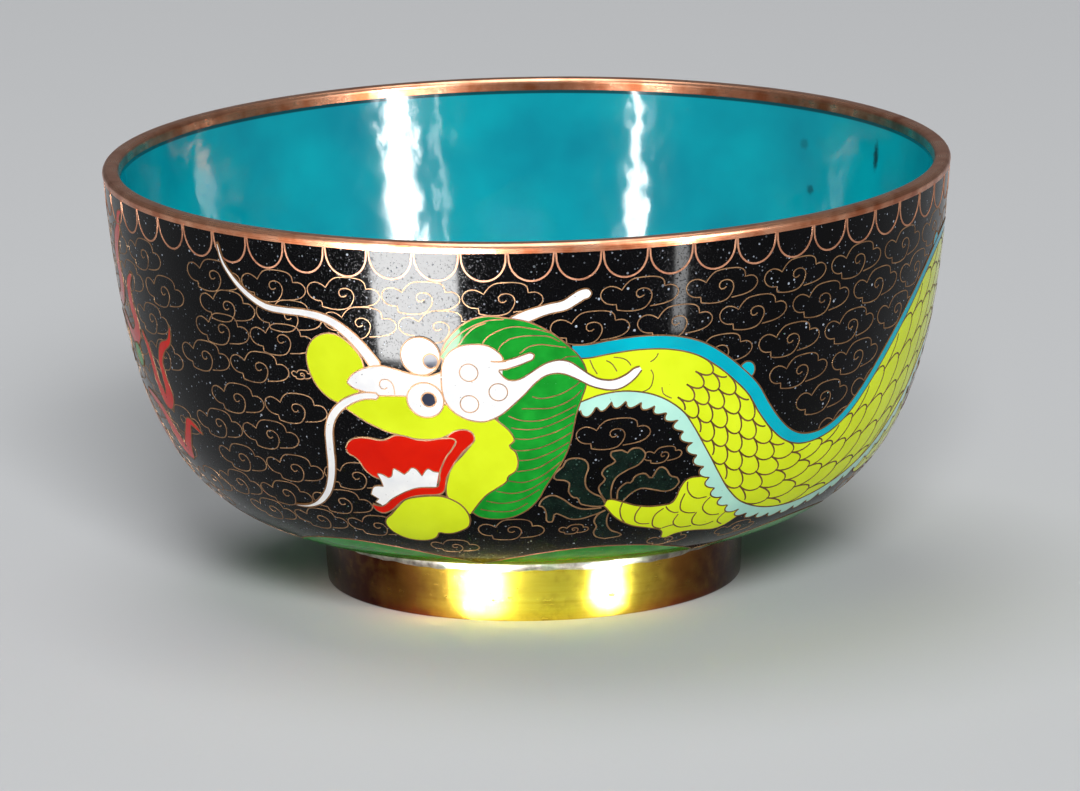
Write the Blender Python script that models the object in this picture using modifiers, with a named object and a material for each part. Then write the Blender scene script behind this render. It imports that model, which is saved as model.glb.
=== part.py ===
# Cloisonne bowl on a foot ring, in metres, +Z up, origin under the middle of the foot.
# A thin spun copper bowl carries fused enamel outside, inside and under its base.
# The bare copper edge is the rim, and a brass ring soldered below is the foot.

import math

import bpy

MM = 0.001

# Driving dimensions of the outer surface.
RIM_RADIUS = 57.0 * MM
HEIGHT = 57.4 * MM
BASE_HEIGHT = 7.6 * MM          # lowest point of the bowl's belly, inside the foot
WALL_TAPER = 0.0806             # share of the radius lost from rim to base before the turn
SIDE_POWER = 5.13               # how square the turn is where it leaves the wall
DEPTH_POWER = 3.24              # how square it is where it runs under the base

# Layers of the wall, outside to inside, each a distance along the surface normal.
OUTER_ENAMEL = 0.6 * MM
COPPER = 0.6 * MM
INNER_ENAMEL = 0.4 * MM
LAYER_GAP = 0.3 * MM
COPPER_OUT = OUTER_ENAMEL + LAYER_GAP
COPPER_IN = COPPER_OUT + COPPER
LINING_OUT = COPPER_IN + LAYER_GAP
LINING_IN = LINING_OUT + INNER_ENAMEL

# Bare copper lip over the edges of both enamels.
LIP_OUTER_DROP = 1.6 * MM
LIP_INNER_DROP = 1.2 * MM
LIP_ROUND = 0.7 * MM

# Foot ring of brass strip.
FOOT_RADIUS = 28.3 * MM
FOOT_WALL = 1.5 * MM
FOOT_BEVEL = 0.3 * MM
FOOT_DRAFT = 0.3 * MM           # the ring is this much narrower at the floor
FOOT_MIDDLE = BASE_HEIGHT / 2   # down to here it has lost only a third of that
BASE_ENAMEL = 0.4 * MM

# Fineness of the turned solids.
STEPS = 60
WALL_POINTS = 11
LIP_POINTS = 3
BASE_POINTS = 3
FINE_STEPS = 600                # steps of the outline that the points are chosen from
BEND_WORTH = 30.0 * MM          # a bend of one radian earns as many points as this length does
SLOPE_STEP = 1e-4               # share on each side of a point, between which its slope is taken
HALVINGS = 50
MERGE = 0.001 * MM


def belly(share):
    """Point (radius, height) of the outer surface; share runs from 0 at the rim to 1 on the axis.

    It is a superellipse hung from the rim, with its radius tapered in step with the depth."""
    turn = share * math.pi / 2
    depth = math.sin(turn) ** (2 / DEPTH_POWER)
    radius = RIM_RADIUS * (1 - WALL_TAPER * depth) * math.cos(turn) ** (2 / SIDE_POWER)
    return radius, HEIGHT - (HEIGHT - BASE_HEIGHT) * depth


def layer(distance, share):
    """The belly's point moved inwards along its normal by a distance."""
    if share <= 0:
        return RIM_RADIUS - distance, HEIGHT
    if share >= 1:
        return 0.0, BASE_HEIGHT + distance
    low = belly(min(share + SLOPE_STEP, 1))
    high = belly(max(share - SLOPE_STEP, 0))
    run, rise = low[0] - high[0], low[1] - high[1]
    length = math.hypot(run, rise)
    radius, height = belly(share)
    return radius + distance * rise / length, height - distance * run / length


def share_at(distance, test):
    """Share at which a layer's point first passes a test, found by halving."""
    low, high = 0.0, 1.0
    for _ in range(HALVINGS):
        middle = (low + high) / 2
        if test(*layer(distance, middle)):
            high = middle
        else:
            low = middle
    return high


def layer_run(distance, start, end, count=WALL_POINTS):
    """Points of a layer from one share to another, closer together where the outline bends more."""
    fine = [layer(distance, start + (end - start) * i / FINE_STEPS) for i in range(FINE_STEPS + 1)]
    travel = [0.0]
    heading = None
    for (r0, z0), (r1, z1) in zip(fine, fine[1:]):
        turned_to = math.atan2(z1 - z0, r1 - r0)
        bend = 0 if heading is None else abs(turned_to - heading)
        travel.append(travel[-1] + math.hypot(r1 - r0, z1 - z0) + bend * BEND_WORTH)
        heading = turned_to
    points = []
    index = 0
    for i in range(count):
        wanted = travel[-1] * i / (count - 1)
        while index < FINE_STEPS and travel[index] < wanted:
            index += 1
        points.append(fine[index])
    return points


def arc(centre, radius, start, end, count=LIP_POINTS):
    """Points on an arc, angles in degrees from +X towards +Z."""
    points = []
    for i in range(count + 1):
        angle = math.radians(start + (end - start) * i / count)
        points.append((centre[0] + radius * math.cos(angle), centre[1] + radius * math.sin(angle)))
    return points


def finish(name, colour, roughness, metallic):
    """A plain shader with the part's colour, roughness and metallic value."""
    material = bpy.data.materials.new(name)
    material.use_nodes = True
    shader = material.node_tree.nodes["Principled BSDF"]
    shader.inputs["Base Color"].default_value = (*colour, 1)
    shader.inputs["Roughness"].default_value = roughness
    shader.inputs["Metallic"].default_value = metallic
    return material


def turned(name, profile, material, closed, collection):
    """A solid of revolution: the profile is a line of edges that a Screw modifier turns about Z."""
    edges = [(i, i + 1) for i in range(len(profile) - 1)]
    if closed:
        edges.append((len(profile) - 1, 0))
    mesh = bpy.data.meshes.new(name)
    mesh.from_pydata([(x, 0, z) for x, z in profile], edges, [])
    mesh.materials.append(material)
    solid = bpy.data.objects.new(name, mesh)
    collection.objects.link(solid)
    screw = solid.modifiers.new("Turn", "SCREW")
    screw.axis = "Z"
    screw.angle = 2 * math.pi
    screw.steps = screw.render_steps = STEPS
    screw.use_merge_vertices = True
    screw.merge_threshold = MERGE
    screw.use_smooth_shade = True
    return solid


def copper_profile():
    """Copper from the middle of the inner floor, up and over the lip, and down to the underside."""
    inner_top = share_at(COPPER_IN, lambda r, z: z < HEIGHT - LIP_INNER_DROP)
    outer_top = share_at(COPPER_OUT, lambda r, z: z < HEIGHT - LIP_OUTER_DROP)
    lip_in = RIM_RADIUS - LINING_IN
    inside = layer_run(COPPER_IN, inner_top, 1)[::-1]
    over = [(lip_in, HEIGHT - LIP_INNER_DROP)]
    over += arc((lip_in + LIP_ROUND, HEIGHT - LIP_ROUND), LIP_ROUND, 180, 90)
    over += arc((RIM_RADIUS - LIP_ROUND, HEIGHT - LIP_ROUND), LIP_ROUND, 90, 0)
    over += [(layer(0, share_at(0, lambda r, z: z < HEIGHT - LIP_OUTER_DROP))[0], HEIGHT - LIP_OUTER_DROP)]
    outside = layer_run(COPPER_OUT, outer_top, 1)
    return inside + over + outside


def shell_profile(outer, inner, outer_start, inner_start, outer_end, inner_end):
    """A closed outline between two layers, down the outer one and back up the inner one."""
    return layer_run(outer, outer_start, outer_end) + layer_run(inner, inner_start, inner_end)[::-1]


def outer_enamel_profile():
    """Enamel from under the lip down to the foot ring."""
    top = HEIGHT - LIP_OUTER_DROP - LAYER_GAP
    edge = FOOT_RADIUS + LAYER_GAP
    back = OUTER_ENAMEL
    return shell_profile(
        0, back,
        share_at(0, lambda r, z: z < top),
        share_at(back, lambda r, z: z < top),
        share_at(0, lambda r, z: r < edge),
        share_at(back, lambda r, z: r < edge),
    )


def lining_profile():
    """Inner enamel: from the middle of its glossy side up to its edge, and down its copper side."""
    top = HEIGHT - LIP_INNER_DROP - LAYER_GAP
    glossy = share_at(LINING_IN, lambda r, z: z < top)
    back = share_at(LINING_OUT, lambda r, z: z < top)
    rise = layer_run(LINING_IN, glossy, 1)[::-1]
    return rise + layer_run(LINING_OUT, back, 1)


def foot_profile():
    """Cross-section of the brass ring: bevelled at the floor, its top following the copper above."""
    inner = FOOT_RADIUS - FOOT_WALL

    def under_copper(radius):
        share = share_at(COPPER_OUT - LAYER_GAP, lambda r, z: r < radius)
        return layer(COPPER_OUT - LAYER_GAP, share)[1]

    floor = FOOT_RADIUS - FOOT_DRAFT
    return [
        (FOOT_RADIUS, under_copper(FOOT_RADIUS)),
        (FOOT_RADIUS - FOOT_DRAFT / 3, FOOT_MIDDLE),
        (floor, FOOT_BEVEL),
        (floor - FOOT_BEVEL, 0),
        (inner + FOOT_BEVEL, 0),
        (inner, FOOT_BEVEL),
        (inner, under_copper(inner)),
    ]


def base_enamel_profile():
    """Plain enamel disc under the base, inside the foot ring."""
    edge = FOOT_RADIUS - FOOT_WALL - LAYER_GAP
    upper = COPPER_OUT - LAYER_GAP
    lower = upper - BASE_ENAMEL

    def start(distance):
        return share_at(distance, lambda r, z: r < edge)

    top = layer_run(upper, start(upper), 1, BASE_POINTS)[::-1]
    return top + layer_run(lower, start(lower), 1, BASE_POINTS)


def main():
    for old in list(bpy.data.objects):
        bpy.data.objects.remove(old)
    bowl = bpy.data.collections.new("cloisonne_bowl")
    bpy.context.scene.collection.children.link(bowl)

    copper = finish("rim_copper", (0.62, 0.27, 0.16), 0.3, 1.0)
    black = finish("black_enamel", (0.006, 0.005, 0.006), 0.08, 0.0)
    turquoise = finish("turquoise_enamel", (0.0, 0.29, 0.37), 0.1, 0.0)
    brass = finish("foot_brass", (0.68, 0.48, 0.16), 0.25, 1.0)

    turned("copper_bowl", copper_profile(), copper, False, bowl)
    turned("outer_enamel", outer_enamel_profile(), black, True, bowl)
    turned("inner_enamel", lining_profile(), turquoise, False, bowl)
    turned("foot_ring", foot_profile(), brass, True, bowl)
    turned("base_enamel", base_enamel_profile(), turquoise, False, bowl)


main()
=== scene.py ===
# %% [markdown]
# A cloisonne bowl with a dragon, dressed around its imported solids.
#
# The real bowl is a thin copper shell. Flat wire is bent into outlines and soldered to it on edge, the
# cells between the wires are filled with powdered glass, and the bowl is fired and ground until wire and
# glass are one smooth surface. So almost everything to be seen is drawing on a curved wall. This script
# keeps that order: the turned bodies first, then the cells, the wires and the light.

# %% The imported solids
import math

import bmesh
import bpy
import numpy as np
from mathutils import Matrix, Vector


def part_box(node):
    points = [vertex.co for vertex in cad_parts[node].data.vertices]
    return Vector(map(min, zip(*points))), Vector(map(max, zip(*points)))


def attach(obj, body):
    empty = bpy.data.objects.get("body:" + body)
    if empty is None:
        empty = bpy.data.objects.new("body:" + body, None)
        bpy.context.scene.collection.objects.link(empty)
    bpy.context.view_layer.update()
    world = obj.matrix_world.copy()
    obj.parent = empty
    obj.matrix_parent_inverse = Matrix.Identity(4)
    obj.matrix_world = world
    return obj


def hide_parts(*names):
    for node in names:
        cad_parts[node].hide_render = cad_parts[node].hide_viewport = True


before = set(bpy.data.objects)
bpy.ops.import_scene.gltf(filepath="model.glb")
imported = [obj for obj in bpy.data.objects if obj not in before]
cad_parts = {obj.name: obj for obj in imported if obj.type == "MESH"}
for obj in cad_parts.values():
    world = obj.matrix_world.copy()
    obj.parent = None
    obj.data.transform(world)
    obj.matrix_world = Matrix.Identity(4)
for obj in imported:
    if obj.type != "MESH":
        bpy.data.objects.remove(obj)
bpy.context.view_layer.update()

MM = 0.001
RIM_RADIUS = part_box("copper_bowl")[1].x
RIM_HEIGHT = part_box("copper_bowl")[1].z
print("solids", sorted(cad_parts), "rim", round(RIM_RADIUS / MM, 2), "by", round(RIM_HEIGHT / MM, 2))

# %% [markdown]
# The camera. A long lens from over a metre away looks down on the bowl by about thirteen degrees, and the
# picture leans a little to the left. The photograph's frame is 1080 by 791 pixels, and the focal length is
# given in those pixels, because that is how it was measured from the ellipses of the rim and the foot.

# %% Camera
FRAME_WIDTH = 1080
FOCAL_PIXELS = 8880.0
SENSOR = 36.0
CAMERA_DISTANCE = 1200 * MM
CAMERA_ELEVATION = math.radians(12.77)
LOOK_DOWN_MORE = math.radians(0.17)
LOOK_RIGHT = math.radians(0.06)
LEAN = math.radians(-1.1)
AIM_HEIGHT = 28 * MM


def place_camera():
    """Puts the camera on a circle round the bowl, its three axes worked out from where it looks."""
    data = bpy.data.cameras.new("camera")
    data.sensor_width = SENSOR
    data.lens = FOCAL_PIXELS / FRAME_WIDTH * SENSOR
    camera = bpy.data.objects.new("camera", data)
    bpy.context.scene.collection.objects.link(camera)
    down = CAMERA_ELEVATION + LOOK_DOWN_MORE
    level = math.cos(down)
    ahead = Vector((math.sin(LOOK_RIGHT) * level, math.cos(LOOK_RIGHT) * level, -math.sin(down)))
    right = ahead.cross(Vector((0, 0, 1))).normalized()
    up = right.cross(ahead)
    leaning = Matrix((math.cos(LEAN) * right + math.sin(LEAN) * up,
                      math.cos(LEAN) * up - math.sin(LEAN) * right,
                      -ahead)).transposed().to_4x4()
    place = Vector((0, -math.cos(CAMERA_ELEVATION), math.sin(CAMERA_ELEVATION))) * CAMERA_DISTANCE
    camera.matrix_world = Matrix.Translation(place + Vector((0, 0, AIM_HEIGHT))) @ leaning
    bpy.context.scene.camera = camera


place_camera()
bpy.context.scene.view_settings.view_transform = "Standard"

# %% [markdown]
# Shader maths. A material is a small graph of nodes, and writing its links by hand hides the idea. Here a
# socket is wrapped in a class whose operators add the Math nodes, so that a pattern reads as a formula.
# Colours go through a Mix node, because a Math node would turn them grey.


# %% A socket that can be added, multiplied and compared
class Field:
    """A number that varies over a surface: one output socket, with Python's operators as Math nodes."""

    def __init__(self, finish, socket):
        self.finish = finish
        self.socket = socket

    def _math(self, operation, *values, clamp=False):
        settings = {"operation": operation, "use_clamp": clamp}
        return self.finish.node("ShaderNodeMath", settings, dict(enumerate(values)))

    def __add__(self, other):
        return self._math("ADD", self, other)

    def __sub__(self, other):
        return self._math("SUBTRACT", self, other)

    def __rsub__(self, other):
        return self._math("SUBTRACT", other, self)

    def __mul__(self, other):
        return self._math("MULTIPLY", self, other)

    def __pow__(self, other):
        return self._math("POWER", self, other)

    __radd__ = __add__
    __rmul__ = __mul__

    def clamped(self):
        return self._math("ADD", self, 0.0, clamp=True)

    def above(self, edge, softness):
        """0 below the edge, 1 above it, with a straight ramp of the given softness between."""
        return ((self - edge) * (1 / softness) + 0.5).clamped()


class Finish:
    """One material: a Principled shader, and one method that adds any other node to its tree."""

    def __init__(self, name, roughness, metallic=0.0, ior=1.5, specular=0.5):
        self.material = bpy.data.materials.new(name)
        self.material.use_nodes = True
        self.tree = self.material.node_tree
        self.shader = self.tree.nodes["Principled BSDF"]
        plain = {"Roughness": roughness, "Metallic": metallic, "IOR": ior, "Specular IOR Level": specular}
        for socket, value in plain.items():
            self.shader.inputs[socket].default_value = value
        self.place = self.node("ShaderNodeTexCoord", {}, {}, "Object")

    def node(self, kind, settings, sockets, output=0):
        """Adds a node: its settings first, then the values or links of its sockets, by name or by number."""
        node = self.tree.nodes.new(kind)
        for setting, value in settings.items():
            setattr(node, setting, value)
        for key, value in sockets.items():
            self.link(value, node.inputs[key])
        return Field(self, node.outputs[output])

    def link(self, value, socket):
        if isinstance(value, Field):
            self.tree.links.new(value.socket, socket)
        else:
            socket.default_value = value

    def noise(self, size, detail=2.0, place=None):
        """Soft random field between 0 and 1, whose blotches are about the given size in metres."""
        sockets = {"Vector": place or self.place, "Scale": 1 / size, "Detail": detail}
        return self.node("ShaderNodeTexNoise", {}, sockets)

    def mix(self, share, first, second):
        """Colour that goes from the first to the second as the share goes from 0 to 1."""
        first, second = [(*c, 1.0) if isinstance(c, tuple) else c for c in (first, second)]
        return self.node("ShaderNodeMix", {"data_type": "RGBA"}, {0: share, 6: first, 7: second}, 2)

    def specks(self, spacing, smallest, largest):
        """Round specks in a jittered lattice: 1 inside, 0 outside. The random size is mostly small."""
        sockets = {"Vector": self.place, "Scale": 1 / spacing}
        distance = self.node("ShaderNodeTexVoronoi", {}, sockets, "Distance")
        chance = self.node("ShaderNodeTexVoronoi", {}, sockets, "Color")
        apart = self.node("ShaderNodeSeparateColor", {}, {0: chance}, 0)
        tint = self.node("ShaderNodeSeparateColor", {}, {0: chance}, 1)
        radius = apart ** 4 * (largest - smallest) + smallest
        return (radius - distance).above(0.0, 0.04), tint

    def axial(self):
        """The distance from the bowl's axis and the height, as two fields."""
        x, y, z = [self.node("ShaderNodeSeparateXYZ", {}, {0: self.place}, axis) for axis in range(3)]
        return (x * x + y * y) ** 0.5, z

    def surface(self, colour=None, roughness=None, height=None, depth=0.0):
        """Links what changes over the surface: its colour, its roughness and its relief in metres."""
        if colour is not None:
            self.link(colour, self.shader.inputs["Base Color"])
        if roughness is not None:
            self.link(roughness, self.shader.inputs["Roughness"])
        if height is not None:
            bump = self.node("ShaderNodeBump", {}, {"Strength": 1.0, "Distance": depth, "Height": height})
            self.link(bump, self.shader.inputs["Normal"])
        return self.material


# %% [markdown]
# Enamel is coloured glass. Ground flush and polished it is glossy, but firing leaves gas bubbles, and the
# grinding opens them into pits that hold pale polishing paste or dark dirt. Its colour is never quite even
# either. So one function makes every enamel: a colour with soft clouds, pits of two sizes, and a gloss that
# is dull inside the pits and in a fine grain between them. The lining was never ground, so it keeps the
# slow ripple of melted glass, and it has a few dark stains near its edge.

# %% Enamel
PIT_DEPTH = 0.03 * MM
PIT_SPACING, FINE_SPACING = 0.75 * MM, 0.36 * MM
GRAIN = 0.22 * MM
GROUND_GLOSS = 0.07             # roughness between the pits
GROUND_INDEX = 1.17             # refractive index outside: lower than glass, as ground enamel mirrors less
DIRT = (0.004, 0.004, 0.004)


def fired(glass, light, dark, cloud, pits, paste):
    """The colour, the dullness and the relief of a fired enamel: clouds, open pits, and grain."""
    clouds = (glass.noise(cloud, 3.0) - 0.5) * 2.2 + 0.5
    colour = glass.mix(clouds.clamped(), dark, light)
    pit, tint = glass.specks(PIT_SPACING, -0.07, 0.04 + 0.24 * pits)
    fine, fine_tint = glass.specks(FINE_SPACING, -0.06, 0.05 + 0.4 * pits)
    colour = glass.mix(pit * 0.85, colour, glass.mix(tint.above(0.5, 0.3), DIRT, paste))
    colour = glass.mix(fine * fine_tint * fine_tint * 0.6, colour, paste)
    grain = glass.noise(GRAIN, 1.0).above(0.6, 0.1)
    dull = grain * 0.25 * pits + (pit + fine).clamped() * 0.3
    return colour, dull, clouds * 0.25 - pit - fine * 0.5


def enamel(name, light, dark, cloud=6 * MM, pits=0.3, paste=(0.5, 0.55, 0.6)):
    """Glass between two tones, mixed by soft clouds; pits sets how many of the lattice's specks are open."""
    glass = Finish(name, GROUND_GLOSS, ior=GROUND_INDEX)
    colour, dull, relief = fired(glass, light, dark, cloud, pits, paste)
    return glass.surface(colour, dull + GROUND_GLOSS, relief, PIT_DEPTH)


# %% Lining
LINING_GLOSS, LINING_INDEX = 0.1, 1.5
LINING_LEAN = -0.12             # its slope against the copper behind it, negative as it thins upwards
RIPPLE = 0.13 * MM
EDGE_SHADE_HEIGHT = RIM_HEIGHT - 2.05 * MM
STAIN = (0.006, 0.01, 0.012)
STAINS = (  # place on the lining in millimetres, radius, how much taller than wide, strength
    ((38.6, 38.0, 50.7), 0.7, 1.0, 0.35),
    ((39.3, 36.3, 44.6), 0.6, 1.0, 0.6),
    ((48.0, 25.2, 51.3), 0.55, 3.2, 0.92),
)


def stained(glass, colour, middle, radius, taller, strength):
    """The colour with a ragged dark spot: distances are measured with the heights pressed together."""
    squeeze = Vector((1, 1, 1 / taller))
    there = [value * scale * MM for value, scale in zip(middle, squeeze)]
    here = glass.node("ShaderNodeVectorMath", {"operation": "MULTIPLY"}, {0: glass.place, 1: squeeze})
    away = glass.node("ShaderNodeVectorMath", {"operation": "DISTANCE"}, {0: here, 1: there}, "Value")
    ragged = away + (glass.noise(0.6 * MM, 3.0) - 0.5) * 0.6 * MM
    return glass.mix((1 - ragged.above(radius * MM, 0.5 * MM)) * strength, colour, STAIN)


def lining_enamel():
    """The turquoise inside: leaning back, rippling slowly and finely, ending in a painted shadow at the rim.
    """
    glass = Finish("turquoise_lining", LINING_GLOSS, ior=LINING_INDEX)
    height = glass.axial()[1]
    tones = (0.0, 0.35, 0.41), (0.0, 0.22, 0.29)
    colour, dull, relief = fired(glass, *tones, cloud=14 * MM, pits=0.1, paste=(0.02, 0.1, 0.12))
    relief = relief + glass.noise(4.5 * MM, 1.0) * (RIPPLE / PIT_DEPTH) + height * (LINING_LEAN / PIT_DEPTH)
    relief = relief + glass.noise(0.9 * MM, 2.0) * (RIPPLE * 0.06 / PIT_DEPTH)
    # Painted shadow: the top of the lining, under the copper lip, is painted nearly black.
    colour = glass.mix(height.above(EDGE_SHADE_HEIGHT, 0.15 * MM) * 0.85, colour, (0.0, 0.015, 0.02))
    for stain in STAINS:
        colour = stained(glass, colour, *stain)
    return glass.surface(colour, dull + LINING_GLOSS, relief, PIT_DEPTH)


LINING = lining_enamel()

# %% The enamels' colours
BLACK = enamel("black_enamel", (0.0016, 0.0015, 0.0022), (0.0005, 0.0004, 0.0006), pits=0.85,
               paste=(0.42, 0.47, 0.55))
YELLOW = enamel("yellow_enamel", (0.74, 0.88, 0.02), (0.64, 0.76, 0.01), pits=0.1, paste=(0.3, 0.3, 0.03))
GREEN = enamel("green_enamel", (0.012, 0.36, 0.03), (0.004, 0.22, 0.015), cloud=2.5 * MM,
               paste=(0.1, 0.5, 0.2))
TURQUOISE = enamel("turquoise_enamel", (0.0, 0.46, 0.56), (0.0, 0.33, 0.44), paste=(0.02, 0.12, 0.15))
PALE_BLUE = enamel("pale_blue_enamel", (0.5, 0.84, 0.7), (0.38, 0.7, 0.6), pits=0.2, paste=(0.2, 0.3, 0.3))
WHITE = enamel("white_enamel", (0.95, 0.94, 0.91), (0.8, 0.8, 0.82), cloud=2.6 * MM, pits=0.65,
               paste=(0.25, 0.24, 0.26))
RED = enamel("red_enamel", (0.72, 0.012, 0.001), (0.6, 0.006, 0.001), pits=0.2, paste=(0.25, 0.02, 0.01))
CLAW_GREEN = enamel("dark_green_enamel", (0.006, 0.018, 0.012), (0.001, 0.004, 0.003), cloud=1.2 * MM,
                    pits=1.0, paste=(0.1, 0.22, 0.17))
PUPIL = enamel("pupil_enamel", (0.05, 0.06, 0.1), (0.03, 0.035, 0.06), pits=0.2)

# %% [markdown]
# The metals. The rim is the bowl's own copper, polished, in patches of brown; its outer side is painted
# browner and darker than its edge, which is painted shade, as the light falls on the edge and not the side.
# The wires are drawn from copper too, but they were ground flush with the glass, which leaves them matte
# and toned. The foot is a turned brass ring, golden in front and painted copper red and nearly black towards
# the sides, which is painted shade where the ring turns away from the front. The lathe left fine lines on
# it: they depend only on the height and the distance from the axis, so a noise that is read along those two
# alone draws them.


# %% Copper, wire, brass and solder
RIM_SIDE = RIM_HEIGHT - 0.5 * MM    # the rounded edge ends and the rim's outer side begins here
WIRE_METALLIC = 0.15                # matte and toned, the wires are more brown than bright
UNSHADED_MIDDLE = 1.5 * MM              # how far to the right of the middle the foot is brightest


def copper():
    metal = Finish("rim_copper", 0.3, metallic=1.0)
    radius, height = metal.axial()
    rings = metal.node("ShaderNodeCombineXYZ", {}, {0: radius * 9.0, 1: height * 9.0})
    lines = metal.noise(0.9 * MM, 3.0, rings)
    patches = metal.noise(3.5 * MM, 4.0)
    # Painted shade: the outer side below the rounded edge is painted browner and darker than the top.
    side = 1 - height.above(RIM_SIDE, 0.5 * MM)
    brown = (patches - 0.5) * 1.8 + 0.38 + (lines - 0.5) * 0.6 + side * 0.4
    colour = metal.mix(brown.clamped(), (0.9, 0.48, 0.3), (0.34, 0.1, 0.04))
    rough = lines * 0.16 + patches * 0.2 + 0.12
    return metal.surface(colour, rough, lines * 0.5 + patches, 0.02 * MM)


def wire_metal(name, bright, toned):
    metal = Finish(name, 0.5, metallic=WIRE_METALLIC, specular=0.2)
    patches = metal.noise(1.6 * MM, 3.0)
    colour = metal.mix(((patches - 0.5) * 2.0 + 0.5).clamped(), toned, bright)
    return metal.surface(colour, patches * 0.2 + 0.4)


def brass():
    """Gold with lathe lines, then painted shade, copper red and nearly black, growing towards the sides."""
    metal = Finish("foot_brass", 0.25, metallic=1.0)
    radius, height = metal.axial()
    rings = metal.node("ShaderNodeCombineXYZ", {}, {0: height * 4.0, 1: radius * 2.0})
    lathe = metal.noise(0.9 * MM, 4.0, rings)
    patches = metal.noise(6 * MM, 4.0)
    smears = metal.noise(1.6 * MM, 4.0)
    # Painted shade: towards the left and right, away from the front, the foot is painted copper red, then
    # nearly black.
    x = metal.node("ShaderNodeSeparateXYZ", {}, {0: metal.place}, 0) - UNSHADED_MIDDLE
    away = (x * x) ** 0.5 * (1 / MM) + (patches - 0.5) * 8.0
    low = 1 - height.above(0.7 * MM, 1.2 * MM)
    gold = metal.mix(lathe, (0.6, 0.46, 0.02), (0.85, 0.74, 0.09))
    colour = metal.mix(away.above(13.0, 9.0) * 0.85 + low * 0.25, gold, (0.34, 0.09, 0.03))
    colour = metal.mix(away.above(18.5, 8.0) * 0.97, colour, (0.035, 0.002, 0.0))
    colour = metal.mix(smears.above(0.6, 0.3) * 0.4, colour, (0.2, 0.1, 0.015))
    return metal.surface(colour, lathe * 0.08 + smears * 0.1 + 0.16, lathe, 0.01 * MM)


def solder():
    metal = Finish("solder_grey", 0.45, metallic=0.75)
    patches = metal.noise(0.9 * MM, 4.0)
    green = metal.noise(3.0 * MM, 2.0)
    colour = metal.mix(((patches - 0.5) * 2.2 + 0.5).clamped(), (0.1, 0.08, 0.07), (0.36, 0.33, 0.28))
    colour = metal.mix(green.above(0.58, 0.1) * 0.3, colour, (0.12, 0.25, 0.12))
    return metal.surface(colour, patches * 0.3 + 0.3, patches, 0.08 * MM)


COPPER, BRASS, SOLDER = copper(), brass(), solder()
WIRE = wire_metal("inlaid_wire", (0.29, 0.16, 0.07), (0.12, 0.055, 0.02))
TONED_WIRE = wire_metal("toned_wire", (0.2, 0.09, 0.025), (0.07, 0.028, 0.006))
PINK_WIRE = wire_metal("border_wire", (0.48, 0.23, 0.13), (0.26, 0.095, 0.045))
print("materials", len(bpy.data.materials))

# %% [markdown]
# The bowl's wall. Its outline is a superellipse hung from the rim: the depth is a power of the turn's sine,
# the radius a power of its cosine, and the radius loses a little more in step with the depth. Everything on
# the wall is placed by two numbers, the degrees round from the front and the millimetres down from the rim,
# so the outline is measured once into a table of radius, height and outward normal against that distance.

# %% The wall's outline
COPPER_DEPTH = 0.9 * MM         # from the outer surface in to the copper
COPPER_WALL = 0.6 * MM
LINING_DEPTH = 2.2 * MM         # from the outer surface in to the glossy side of the lining
BASE_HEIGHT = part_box("copper_bowl")[0].z - COPPER_DEPTH
WALL_TAPER, SIDE_POWER, DEPTH_POWER = 0.0806, 5.13, 3.24

share = 1 - (1 - np.linspace(0, 1, 6001)) ** 3
turn = share * math.pi / 2
sunk = np.sin(turn) ** (2 / DEPTH_POWER)
wall_radius = RIM_RADIUS * (1 - WALL_TAPER * sunk) * np.abs(np.cos(turn)) ** (2 / SIDE_POWER)
wall_radius[-1] = 0
wall_height = RIM_HEIGHT - (RIM_HEIGHT - BASE_HEIGHT) * sunk
run, rise = np.gradient(wall_radius), np.gradient(wall_height)
slant = np.hypot(run, rise)
wall_down = np.concatenate([[0], np.cumsum(np.hypot(np.diff(wall_radius), np.diff(wall_height)))]) / MM
normal_out, normal_up = -rise / slant, run / slant
print("wall from rim to middle of the base", round(float(wall_down[-1]), 1), "mm")


def wall(down, lift=0.0):
    """Radius and height of the wall at a distance down from the rim, moved out along its normal."""
    out, up = np.interp(down, wall_down, normal_out), np.interp(down, wall_down, normal_up)
    return (np.interp(down, wall_down, wall_radius) + out * lift,
            np.interp(down, wall_down, wall_height) + up * lift)


def down_at(radius):
    """How far down the wall its radius has shrunk to this one."""
    return float(np.interp(-radius, -wall_radius, wall_down))


def on_bowl(drawing, lift=0.0):
    """Points of the drawing, (degrees, millimetres down), laid on the bowl: each goes out from the axis by
    the wall's radius, in the direction of its degrees, at the wall's height."""
    radius, height = wall(drawing[..., 1], lift)
    angle = np.radians(drawing[..., 0])
    return np.stack([radius * np.sin(angle), -radius * np.cos(angle), height], -1)


# %% [markdown]
# Turned bodies. The copper shell, both enamels and the foot are a profile turned about the axis. The profile
# is an array of radius and height, and the grid is that array against an array of angles. The rim, the black
# ground, the lining, the base and the foot each replace their faceted solid with a surface six times finer.

# %% Meshes from grids
TURN_STEPS = 360
SHARP = math.radians(40)


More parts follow.
